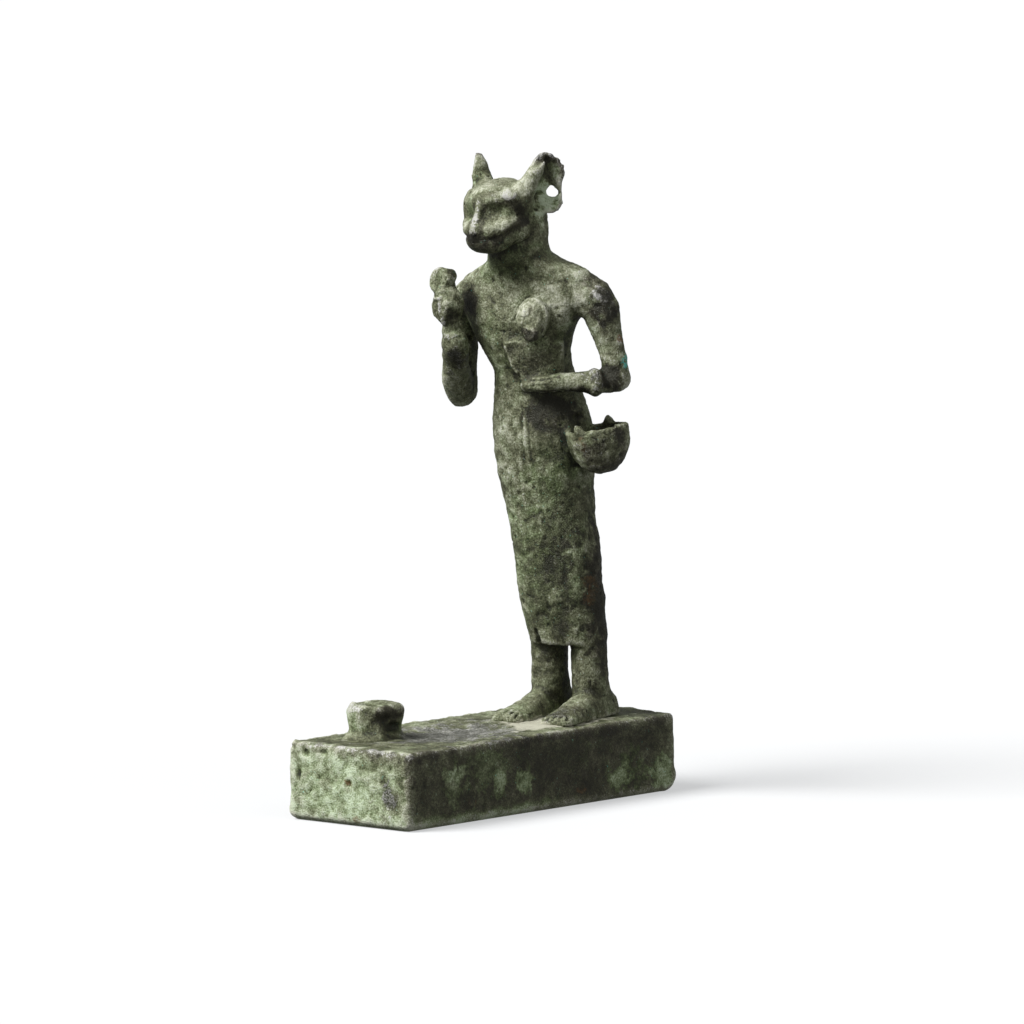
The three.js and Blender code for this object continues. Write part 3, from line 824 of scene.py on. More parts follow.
class Bench:
    """The place where one material's nodes are put together."""

    def __init__(self, name: str) -> None:
        """Start an empty material.

        Args:
            name: Its name.
        """
        self.material = bpy.data.materials.new(name)
        self.material.use_nodes = True
        self.tree = self.material.node_tree
        self.tree.nodes.clear()
        self.place = self.node("ShaderNodeTexCoord", {}, {}, "Object")

    def node(
        self, kind: str, settings: dict[str, object], inputs: dict[str | int, object], output: str | int = 0
    ) -> Wire:
        """Add a node.

        Args:
            kind: Its type.
            settings: Its own settings, set first; a key stops holds a ramp's places and colours.
            inputs: Values or wires of its sockets.
            output: Which output is given back.

        Returns:
            That output.
        """
        made = self.tree.nodes.new(kind)
        for key, value in settings.items():
            if key == "stops":
                ramp = made.color_ramp
                for number, (place, colour) in enumerate(value):
                    stop = ramp.elements[number] if number < 2 else ramp.elements.new(place)
                    stop.position, stop.color = place, (*colour, 1.0)
            else:
                setattr(made, key, value)
        for key, value in inputs.items():
            socket = made.inputs[key]
            if isinstance(value, Wire):
                self.tree.links.new(value.socket, socket)
            else:
                socket.default_value = (*value, 1.0) if socket.type == "RGBA" and len(value) == 3 else value
        return Wire(self, made.outputs[output])

    def tint(self, tint: Tint) -> Wire:
        """Read one of the surface's tints."""
        return self.node("ShaderNodeAttribute", {"attribute_name": tint.value}, {}, "Fac")

    def stretched(self, scale: Point) -> Wire:
        """The surface's own place, scaled along each axis."""
        return self.node("ShaderNodeMapping", {}, {"Vector": self.place, "Scale": scale})

    def noise(self, size: float, detail: float, rough: float, warp: float, place: Wire | None = None) -> Wire:
        """Noise about nought, from -0.5 to 0.5.

        Args:
            size: Size of its lumps, in mm.
            detail: Octaves.
            rough: Strength of the fine ones.
            warp: How far it is twisted.
            place: Where it is read, the surface's own place if nothing is given.

        Returns:
            The value.
        """
        inputs = {"Vector": place or self.place, "Scale": 1.0 / (size * MM), "Detail": detail}
        return self.node("ShaderNodeTexNoise", {}, inputs | {"Roughness": rough, "Distortion": warp}) - 0.5

    def ramp(self, value: Wire, stops: "Ramp") -> Wire:
        """Read a colour off a ramp."""
        return self.node("ShaderNodeValToRGB", {"stops": stops}, {"Fac": value})

    def mix(self, share: Wire, first: "Wire | Colour", second: "Wire | Colour") -> Wire:
        """Blend two colours."""
        return self.node("ShaderNodeMix", {"data_type": "RGBA"}, {0: share, 6: first, 7: second}, 2)

    def closed(self, inputs: dict[str | int, object]) -> bpy.types.Material:
        """Close the material with a shader.

        Args:
            inputs: Values or wires of the shader's sockets.

        Returns:
            The finished material.
        """
        shader = self.node("ShaderNodeBsdfPrincipled", {}, inputs)
        output = self.tree.nodes.new("ShaderNodeOutputMaterial")
        self.tree.links.new(shader.socket, output.inputs["Surface"])
        return self.material


Ramp = tuple[tuple[float, Colour], ...]

OLIVE: Ramp = (
    (0.0, (0.013, 0.013, 0.007)),
    (0.25, (0.040, 0.042, 0.021)),
    (0.5, (0.114, 0.121, 0.067)),
    (0.75, (0.262, 0.274, 0.192)),
    (1.0, (0.480, 0.488, 0.390)),
)
GREEN: Ramp = (
    (0.0, (0.009, 0.013, 0.005)),
    (0.25, (0.035, 0.048, 0.015)),
    (0.5, (0.104, 0.138, 0.056)),
    (0.75, (0.262, 0.325, 0.180)),
    (1.0, (0.470, 0.560, 0.390)),
)
STEEL: Ramp = (
    (0.0, (0.028, 0.027, 0.025)),
    (0.3, (0.075, 0.074, 0.068)),
    (0.55, (0.170, 0.168, 0.157)),
    (0.8, (0.330, 0.326, 0.308)),
    (1.0, (0.540, 0.535, 0.515)),
)
BROWN: Ramp = (
    (0.0, (0.011, 0.010, 0.006)),
    (0.25, (0.031, 0.028, 0.018)),
    (0.5, (0.082, 0.076, 0.054)),
    (0.75, (0.200, 0.190, 0.152)),
    (1.0, (0.370, 0.358, 0.305)),
)


@dataclass(frozen=True)
class Patina:
    """How old bronze looks: its metal, its corrosion and what has settled on it, with painted shade in hollows,
    sheltered places and undersides, and a few painted highlights.

    Attributes:
        name: The material's name.
        sand: Pale earth that has dried on.
        rust: Warm brown patches.
        turquoise: Bright blue-green specks.
        level: Lightness of the plain skin, on the ramps' scale.
        cloud: How much its lightness wanders over several millimetres.
        blotch: Over one or two millimetres.
        speck: Over a few tenths of a millimetre.
        streaks: Length of the grain across over its length upright.
        relief: Height of the finest relief, in mm.
    """

    name: str
    sand: Colour = (0.460, 0.450, 0.360)
    rust: Colour = (0.130, 0.070, 0.026)
    turquoise: Colour = (0.090, 0.480, 0.400)
    level: float = 0.47
    cloud: float = 0.95
    blotch: float = 0.60
    speck: float = 1.4
    streaks: float = 0.85
    relief: float = 0.24

    def material(self) -> bpy.types.Material:
        """Build the material.

        Returns:
            The material, for a piece that carries every tint.
        """
        bench = Bench(self.name)
        upright = bench.stretched((1.0, 1.0, self.streaks))
        pale, green, mint, dark_stain_and_shade, rust, dust, blue, bare_and_highlight, ridge, hollow, shelter_shade = (bench.tint(tint) for tint in Tint)
        cloud = bench.noise(5.0, 3.0, 0.6, 0.4)
        islands = bench.noise(2.4, 4.0, 0.66, 0.9)
        blotch = bench.noise(1.3, 3.0, 0.65, 0.3, upright)
        fleck = bench.noise(0.5, 2.0, 0.6, 0.6)
        speck = bench.noise(0.27, 3.0, 0.7, 0.0, upright)

        # Lightness on every ramp: the skin's own wandering, then what was laid on, with the dark tint partly painted
        # shade and the pale tint partly painted highlight, then lighter worn ridges and painted shade in hollows and
        # sheltered places
        dark_stain_and_shade = dark_stain_and_shade * (blotch * 2.4 + islands * 1.6 + 1.0).within(0.25, 1.6)
        light = self.cloud * cloud + self.blotch * blotch + self.speck * speck + 0.2 * islands + self.level
        light = light + 0.20 * pale + 0.24 * mint - 0.32 * dark_stain_and_shade
        # Painted shade: darker in hollows and creases and where the bronze hides the sky
        light = light + 0.45 * ridge - 0.50 * hollow - 0.22 * shelter_shade

        # From the bottom up: olive skin, brown for stains and for painted shade, green corrosion, rust, dried earth,
        # bright specks, bare metal that is worn and in a few places a painted highlight
        skin = bench.ramp(light, OLIVE)
        # Brown share: real stains, and painted shade where the dark tint was laid as shade
        brown = (dark_stain_and_shade * 0.8 + islands * 1.1 - shelter_shade * 0.3 - 0.03).clamp()
        skin = bench.mix(brown, skin, bench.ramp(light, BROWN))
        leaf = islands * 2.2 + cloud + green * 0.8 + mint * 0.55 + shelter_shade * 0.25
        leaf = (leaf - dark_stain_and_shade * 0.3 - ridge * 0.3 - pale * 0.3 + 0.12).clamp()
        skin = bench.mix(leaf * 0.85, skin, bench.ramp(light, GREEN))
        warm = (islands * 1.2 + fleck * 0.6 + rust * 1.2).between(0.45, 0.95)
        skin = bench.mix(warm * 0.8, skin, self.rust)
        earth = (dust + speck * 0.9 + blotch * 0.6 + hollow * 0.15 - ridge * 0.2).between(0.25, 0.95)
        skin = bench.mix(earth * 0.9, skin, self.sand)
        skin = bench.mix((blue + fleck * 2.2 + speck * 2.4).between(0.6, 0.95), skin, self.turquoise)
        # Bare metal share: real wear, and a painted highlight where the bare tint marks the nose, brow and shoulder
        worn_and_highlight = ridge * 0.7 + bare_and_highlight * 0.7 + speck * 2.4 + fleck * 1.2 + blotch * 0.9
        worn_and_highlight = (worn_and_highlight - shelter_shade * 0.3 - dust * 0.6 - mint * 0.35).between(0.5, 1.1)
        skin = bench.mix(worn_and_highlight * 0.9, skin, bench.ramp(light + 0.1 * worn_and_highlight + 0.9 * speck, STEEL))

        rough = (0.38 + 0.55 * light * light - 0.18 * worn_and_highlight + 0.3 * speck).within(0.30, 0.92)
        height = speck + fleck * 0.4 + blotch * 0.3
        bump = bench.node("ShaderNodeBump", {}, {"Strength": 1.0, "Distance": self.relief * MM, "Height": height})
        return bench.closed({
            "Base Color": skin,
            "Metallic": worn_and_highlight * 0.6,
            "Roughness": rough,
            "Specular IOR Level": 0.42,
            "Specular Tint": (0.93, 0.95, 0.80),
            "Normal": bump,
        })


# The figure


@dataclass(frozen=True)
class CatFigure:
    """The cat-headed goddess, from her bare feet to the tips of her ears.

    Attributes:
        node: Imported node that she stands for.
        cell: Side of her even faces.
        seed: Number that fixes her weathering.
        head_zone: Middle and reach of the zone whose faces are halved, in the head's frame.
        fine_zones: The same for lion and collar, fist and sistrum, basket rim and feet, in the figure's frame.
        face_top: Heights between which her face gives way to her ears, in the head's frame.
        toe_gaps: Grooves between her toes, each from its start to its end.
        head_forms: Rounded forms that the skin of her head is drawn onto.
    """

    node: str = "figure"
    cell: float = 0.385
    seed: int = 71
    head_zone: tuple[Point, Point] = ((-0.2, -1.4, 1.2), (7.6, 8.6, 8.6))
    fine_zones: tuple[tuple[Point, Point], ...] = (
        ((0.0, -13.0, 59.0), (8.0, 5.0, 8.5)),
        ((-14.2, -12.9, 61.0), (4.2, 4.0, 9.5)),
        ((9.0, -7.0, 47.5), (7.0, 7.0, 4.6)),
        ((5.0, -10.5, 0.6), (5.0, 5.5, 2.6)),
        ((-3.4, -10.5, 0.6), (5.0, 5.5, 2.6)),
    )
    face_top: tuple[float, float] = (4.2, 6.2)
    toe_gaps: tuple[tuple[Point, Point], ...] = (
        ((3.3, -12.6, 1.9), (3.1, -13.6, 0.7)),
        ((4.3, -12.4, 1.8), (4.2, -13.4, 0.7)),
        ((5.2, -12.2, 1.7), (5.3, -13.3, 0.7)),
        ((6.1, -11.8, 1.6), (6.3, -12.8, 0.7)),
        ((-4.6, -10.4, 2.6), (-4.7, -13.4, 0.7)),
        ((-3.6, -10.6, 2.7), (-3.5, -13.5, 0.7)),
        ((-2.6, -10.8, 2.6), (-2.5, -13.4, 0.7)),
    )
    head_forms: tuple[Form, ...] = (
        Form((0.0, 0.2, 1.3), (5.2, 5.5, 4.8)),
        Form((0.0, -2.9, 2.7), (3.9, 3.1, 2.6), run=1.2),
        Form(
            stops=((3.9, -1.1, 3.4, 1.9), (5.2, 0.1, 6.2, 1.5), (6.1, 1.0, 8.6, 1.0), (6.5, 1.6, 9.7, 0.7)),
            run=1.6,
        ),
        Form(stops=((-4.0, -0.6, 3.2, 1.7), (-5.1, 0.9, 5.4, 1.2), (-5.5, 1.7, 6.8, 0.8)), run=1.6),
        Form(stops=((0.0, -5.6, 3.0, 0.5), (0.0, -6.3, 0.9, 0.5), (0.0, -7.0, -1.5, 0.6)), run=0.7),
        Form((0.0, -4.8, -1.5), (2.8, 2.5, 2.1), run=1.2),
        Form(stops=((2.0, -5.6, -1.6, 1.15), (3.1, -4.5, -0.9, 1.1), (4.0, -2.7, -0.1, 0.7)), run=0.9, mirrored=True),
        Form((-3.6, -3.3, 1.6), (1.35, 1.6, 2.6), run=0.9),
        Form((0.0, -4.3, -3.2), (2.9, 2.6, 2.0), run=0.9),
        Form(stops=((1.6, -4.2, -3.3, 1.6), (3.6, -0.6, -1.6, 1.8)), run=1.2, mirrored=True),
        Form((3.3, -6.3, 1.6), (2.1, 2.3, 1.45), run=0.8, cut=True),
        Form((-2.6, -7.0, 1.4), (1.3, 1.3, 1.0), run=0.6, cut=True),
        Form((3.7, -3.2, 3.9), (1.5, 1.4, 1.0), run=0.5),
        Form((-3.0, -2.6, 3.5), (1.3, 1.2, 0.9), run=0.6),
        Form(
            stops=((0.6, -7.8, -2.5, 0.3), (2.0, -7.0, -2.9, 0.3), (3.4, -5.4, -2.5, 0.25), (4.2, -4.2, -1.8, 0.15)),
            run=0.35,
            cut=True,
            mirrored=True,
        ),
        Form(stops=((1.0, -7.6, -1.3, 0.25), (1.1, -7.9, -2.0, 0.35)), run=0.25, cut=True, mirrored=True),
    )

    def build(self) -> Casting:
        """Shape her.

        Returns:
            Her worked surface.
        """
        cast = Casting(self.node, "figure_bronze", self.cell, self.seed)
        keep = np.maximum.reduce([
            cast.near(HEAD, (6.6, 2.2, 5.5), (3.6, 4.2, 6.6)),
            cast.near(HEAD, (-6.6, 1.6, 5.5), (3.4, 4.0, 6.6)),
            cast.near(HEAD, (0.0, -3.0, 0.0), (6.0, 6.5, 6.5)),
            cast.near(FIGURE, (9.2, -7.6, 46.0), (6.6, 6.6, 6.0)),
            cast.near(FIGURE, (-0.5, -11.6, 58.0), (8.0, 5.0, 10.0), 0.6),
            cast.near(FIGURE, (-14.6, -12.6, 63.0), (4.5, 4.5, 9.0), 0.6),
        ])
        cast.calm(14, 1.0 - 0.8 * keep)
        cast.refine(HEAD, [self.head_zone])
        cast.refine(FIGURE, self.fine_zones)
        cast.calm(5)
        height = HEAD.into(cast.points)[:, 2]
        cast.draw_onto(HEAD, self.head_forms, reach=1.0, share=1.0 - smoothstep(*self.face_top, height))
        cast.calm(2)
        rims = ((8.0, 4.2, 5.0), (2.4, 3.4, 6.2)), ((-6.8, 1.6, 7.0), (2.6, 3.4, 4.6))
        cast.calm(4, np.maximum(*(cast.near(HEAD, *rim) for rim in rims)))
        cast.work(HEAD, [
            Pull((7.2, 3.4, 4.5), (3.1, 3.1, 3.1), (0.1, 0.15, -0.6), 0.82),
            Pull((7.7, 4.3, 8.2), (1.8, 2.6, 3.0), (0.25, 0.55, 0.1)),
            Pull((7.5, 4.0, 1.6), (1.8, 2.0, 1.8), (0.3, 0.45, -0.25)),
            Plane((4.2, -5.0, -0.6), (0.65, -0.75, 0.35), (1.8, 1.8, 1.1), 0.5),
        ])
        self.carve_body(cast)
        self.weather(cast)
        self.colour(cast)
        return cast

    def carve_body(self, cast: Casting) -> None:
        """Cut the aegis, the sistrum, the dress lines, the hem's cracks and the toes.

        Args:
            cast: Her casting.
        """
        cast.work(FIGURE, [
            Stroke(
                (
                    (-2.9, -11.9, 61.6), (-3.1, -11.9, 63.6), (-2.2, -12.0, 65.4), (-0.3, -12.2, 66.2),
                    (1.4, -12.0, 65.4), (2.2, -11.7, 63.6), (2.1, -11.6, 61.8),
                ),
                0.7, 0.28,
            ),
            Stroke(((0.3, -13.3, 65.0), (0.2, -13.8, 63.2), (0.4, -14.0, 61.8)), 0.35, -0.3),
            Stroke(((-0.9, -13.1, 64.6), (-0.7, -13.5, 63.2)), 0.4, 0.2),
            Dab((-1.3, -13.4, 62.0), (1.3, 1.4, 1.3), 0.35),
            Dab((1.3, -13.2, 62.2), (1.2, 1.4, 1.3), 0.3),
            Dab((0.3, -14.0, 59.9), (1.5, 1.4, 0.8), 0.3),
            Plane((0.2, -14.1, 60.8), (0.0, -1.0, -0.15), (1.8, 1.4, 1.4), 0.6),
            Stroke(
                ((-5.4, -11.8, 58.7), (-4.2, -11.8, 59.1), (-2.6, -11.7, 59.2), (-1.6, -11.9, 59.4)),
                0.5, 0.4, taper=0.05,
            ),
            Stroke(
                ((1.2, -11.0, 59.8), (1.9, -9.9, 59.5), (2.5, -8.7, 59.2), (3.5, -7.4, 59.3)),
                0.5, 0.5, taper=0.05,
            ),
            Stroke(
                ((-5.2, -11.8, 58.4), (-4.8, -11.8, 56.8), (-4.0, -11.5, 55.0), (-2.7, -11.4, 53.6)),
                0.5, 0.4, taper=0.05,
            ),
            Stroke(((3.1, -7.9, 58.6), (3.0, -8.3, 56.4), (2.8, -9.0, 54.2)), 0.5, 0.3, taper=0.05),
            Stroke(((-6.1, -11.0, 58.4), (-5.8, -11.0, 56.6), (-4.9, -10.8, 54.8), (-3.6, -10.8, 53.2)), 0.55, -0.35),
            Dab((-0.8, -11.4, 57.4), (3.8, 2.6, 2.6), 0.15, flat_top=0.3),
            Stroke(((-2.2, -11.0, 51.3), (1.0, -11.2, 51.2), (4.0, -9.5, 51.4)), 0.5, -0.35),
            Stroke(((-1.8, -11.4, 53.1), (1.2, -11.5, 53.5), (3.4, -10.2, 53.9)), 0.45, -0.25),
            Stroke(((-0.8, -12.0, 52.4), (1.2, -12.0, 52.6), (3.4, -10.7, 52.9)), 0.3, -0.12),
            Stroke(((-12.5, -13.8, 57.8), (-13.2, -12.9, 56.0), (-13.9, -10.8, 53.8)), 1.7, -0.45, taper=0.25),
            Pull((-14.6, -12.8, 64.2), (3.2, 3.2, 3.2), (0.15, -0.1, 0.0), 1.28),
            Pull((-14.9, -12.6, 69.0), (2.6, 2.6, 2.4), (0.15, 0.0, -0.2), 1.05),
            Plane((-15.2, -14.2, 63.6), (-0.55, -0.83, 0.0), (2.4, 2.2, 3.0), 0.8),
            Plane((-13.1, -13.3, 63.6), (0.8, -0.6, 0.05), (2.2, 2.0, 3.0), 0.8),
            Plane((-15.4, -13.8, 68.6), (-0.25, -1.0, 0.15), (2.8, 2.4, 2.8), 0.9),
            Plane((-14.6, -12.8, 69.6), (0.5, 0.0, 1.0), (2.6, 2.6, 1.4), 0.6),
            Pull((-16.2, -12.8, 67.4), (1.6, 2.0, 1.6), (-0.5, 0.0, -0.3)),
            Pull((-13.4, -13.2, 64.8), (2.2, 2.6, 2.6), (0.9, -0.2, 0.3)),
            Pull((-16.0, -12.8, 63.6), (2.0, 2.6, 3.0), (-0.4, 0.0, 0.0)),
            Dab((-14.6, -12.8, 66.5), (2.6, 2.8, 1.7), 0.75),
            Pull((-15.6, -12.8, 68.6), (3.0, 3.0, 2.4), (0.2, 0.0, -0.1), 1.1),
            Plane((-13.6, -13.0, 69.2), (1.0, -0.5, 0.8), (2.0, 2.2, 2.0), 0.7),
            Stroke(((-16.4, -13.4, 65.2), (-15.0, -14.4, 65.4), (-13.4, -13.6, 65.8)), 0.5, 0.4, taper=0.05),
            Stroke(((-15.1, -14.5, 65.2), (-14.9, -14.5, 63.4), (-14.3, -14.2, 61.2)), 0.5, 0.3, taper=0.05),
            Pull((-15.8, -12.9, 61.6), (1.8, 2.0, 1.8), (0.4, 0.2, 0.0)),
            Dab((-13.7, -14.2, 59.6), (1.6, 1.4, 0.9), 0.3),
            Stroke(((7.6, -7.6, 67.2), (8.8, -7.2, 66.4), (10.2, -6.2, 65.2)), 0.7, 0.25),
            Stroke(((7.2, -8.2, 65.8), (8.8, -7.6, 64.9), (10.0, -6.4, 63.9)), 0.7, -0.3),
            Dab((11.6, -5.2, 59.4), (1.2, 1.6, 1.5), 0.3),
            Dab((11.7, -4.6, 56.6), (1.0, 1.6, 1.3), 0.25),
            Dab((-5.2, -10.9, 63.0), (3.4, 2.6, 3.2), 0.25),
            Dab((4.0, -9.2, 63.4), (3.0, 2.6, 2.8), 0.25),
            Stroke(((-3.5, -9.5, 50.0), (-3.5, -9.5, 46.1), (-3.5, -9.3, 42.5), (-3.0, -8.8, 38.5)), 0.42, -0.26),
            Stroke(((-2.3, -9.5, 50.0), (-2.4, -9.5, 46.1), (-2.2, -9.3, 42.5), (-1.7, -8.8, 38.9)), 0.42, -0.24),
            Stroke(((-2.9, -9.5, 49.6), (-2.9, -9.5, 46.1), (-2.8, -9.3, 42.5), (-2.3, -8.8, 38.9)), 0.36, 0.14),
            Stroke(((-3.5, -4.9, 14.0), (-3.1, -4.6, 11.9), (-3.4, -3.6, 10.0)), 0.6, -0.8, taper=0.2),
            Dab((-5.8, -4.6, 17.9), (1.0, 1.2, 0.8), -0.4),
            Stroke(((5.4, -4.6, 11.6), (6.3, -1.6, 11.6), (6.4, 1.6, 11.7)), 0.5, -0.25, taper=0.1),
            *(Stroke((start, end), 0.42, -0.42, taper=0.05) for start, end in self.toe_gaps),
        ])

    def weather(self, cast: Casting) -> None:
        """Corrode the skin, most of all its thin rims.

        Args:
            cast: Her casting.
        """
        zones = ((6.9, 2.8, 5.0), (3.0, 4.4, 6.2)), ((-6.9, 1.8, 6.0), (2.6, 3.0, 5.0))
        ears = np.maximum(*(cast.near(HEAD, *zone) for zone in zones))
        face = cast.near(HEAD, (0.0, -4.0, 0.0), (6.0, 6.0, 6.5), 0.6)
        rim = cast.near(FIGURE, (9.2, -7.6, 47.5), (7.0, 7.0, 3.2))
        staff = cast.near(FIGURE, (-14.8, -12.8, 64.6), (3.2, 3.2, 5.6))
        dress = cast.near(FIGURE, (-0.5, -3.0, 30.0), (14.0, 12.0, 24.0), 0.8)
        cast.roughen(3.6, 0.12, 2, 1.0 - 0.5 * face)
        cast.roughen(1.2, 0.09, 3, 1.0 + 1.4 * rim + 0.8 * staff + 0.1 * ears - 0.5 * face)
        cast.roughen((1.0, 1.0, 4.5), 0.05, 2, dress)
        cast.pit(0.9, 0.2, 0.42)

    def colour(self, cast: Casting) -> None:
        """Lay her stains, and the painted shade and painted highlights among them.

        Args:
            cast: Her casting.
        """
        cast.read_relief()
        cast.stain(HEAD, {
            Tint.PALE: (
                Stain((0.0, -2.0, 5.0), (6.5, 5.0, 3.0), 1.0),
                Stain((2.9, -5.6, -0.7), (2.4, 2.2, 1.1), 1.7, mirrored=True, ragged=0.3),
                Stain((4.4, -3.2, 0.1), (1.6, 2.0, 0.8), 1.0, ragged=0.3),
                Stain((2.8, -5.0, 1.2), (1.9, 2.0, 1.6), 1.4),
                # Partly pale wear, partly painted highlight: the brow bump and the nose ridge
                Stain((3.4, -4.2, 4.1), (1.6, 1.5, 1.0), 0.6),
                Streak(((0.1, -6.2, 2.8), (0.1, -6.9, 0.9), (0.1, -7.6, -1.5)), 0.6, 1.2),
                Stain((-1.4, -6.2, 0.0), (0.8, 1.6, 2.4), 0.6),
                Stain((6.6, 3.2, 3.2), (2.4, 3.0, 4.0), 2.0),
                Streak(((4.2, -2.2, 4.4), (5.2, -1.0, 6.4), (6.0, 0.2, 8.6)), 1.4, 0.9),
            ),
            Tint.DUST: (
                Stain((0.0, -2.5, 5.8), (4.5, 3.6, 1.6), 0.4),
                Stain((6.6, 3.2, 3.2), (2.2, 2.8, 3.6), 0.3),
            ),
            Tint.DARK: (
                # Painted shade: the jaw and the line beneath the cheek pads, where the face turns under
                Stain((0.0, -5.2, -4.4), (5.2, 5.0, 2.0), 1.0),
                Streak(
                    ((0.4, -7.6, -2.6), (2.0, -6.8, -3.0), (3.4, -5.2, -2.6), (4.8, -3.3, -1.4), (5.6, -1.0, -0.2)),
                    0.9, 0.9, mirrored=True, ragged=0.9,
                ),
                # Painted shade: under the brow, beside the nose ridge, down the side of the face and in the eye
                # socket
                Streak(
                    ((3.2, -4.4, 2.7), (4.0, -3.7, 2.8), (4.9, -2.6, 2.5), (5.4, -1.6, 1.6)),
                    0.8, 0.6, ragged=0.9,
                ),
                Streak(((1.0, -5.9, 2.4), (1.1, -6.4, 0.6), (1.3, -6.9, -1.4)), 0.6, 0.6, mirrored=True),
                Streak(((5.4, -2.4, 1.6), (5.6, -1.4, -0.4)), 0.9, 0.6),
                Stain((2.9, -4.6, 1.5), (0.5, 0.8, 0.45), 0.9),
                Stain((1.4, -4.6, 4.0), (1.4, 1.6, 0.8), 0.35),
                Stain((6.9, 2.0, 9.9), (2.4, 3.4, 1.5), 1.1, mirrored=True),
                Streak(
                    ((8.2, 4.6, 8.4), (8.9, 5.2, 5.6), (8.6, 5.0, 3.2), (7.9, 3.8, 1.2), (7.0, 2.6, 0.2)),
                    1.1, 2.4, ragged=0.6,
                ),
                # Painted shade under the head
                Stain((0.0, -2.0, -6.4), (5.0, 5.0, 2.8), 0.35),
            ),
            Tint.BARE_AND_HIGHLIGHT: (
                Stain((0.4, -6.4, -4.0), (3.0, 2.4, 1.5), 0.25),
                # Partly bare wear, partly painted highlight: the brow bump and the nose ridge
                Stain((3.4, -4.2, 4.0), (2.0, 1.7, 1.2), 0.8),
                Streak(((0.1, -6.2, 2.8), (0.1, -6.9, 0.9), (0.1, -7.6, -1.5)), 0.8, 1.0),
                Streak(((6.2, 1.0, 9.8), (6.8, 2.0, 10.4), (7.4, 3.2, 9.8)), 0.6, 1.0, ragged=0.7),
            ),
            Tint.GREEN: (
                Stain((3.0, -4.6, 1.5), (1.9, 1.9, 1.4), 0.8),
                Stain((-2.2, -5.6, 1.0), (1.4, 1.9, 3.0), 0.8),
                Stain((6.6, 3.2, 3.2), (2.2, 2.8, 3.6), 1.2),
                Stain((-5.2, -0.4, 5.6), (1.4, 1.8, 2.0), 0.9),
                Stain((0.0, -1.0, -6.0), (7.0, 7.0, 3.8), 0.9),
            ),
            Tint.MINT: (
                Stain((6.2, 2.8, 3.4), (2.2, 3.2, 4.8), 1.5, mirrored=True),
            ),
        })
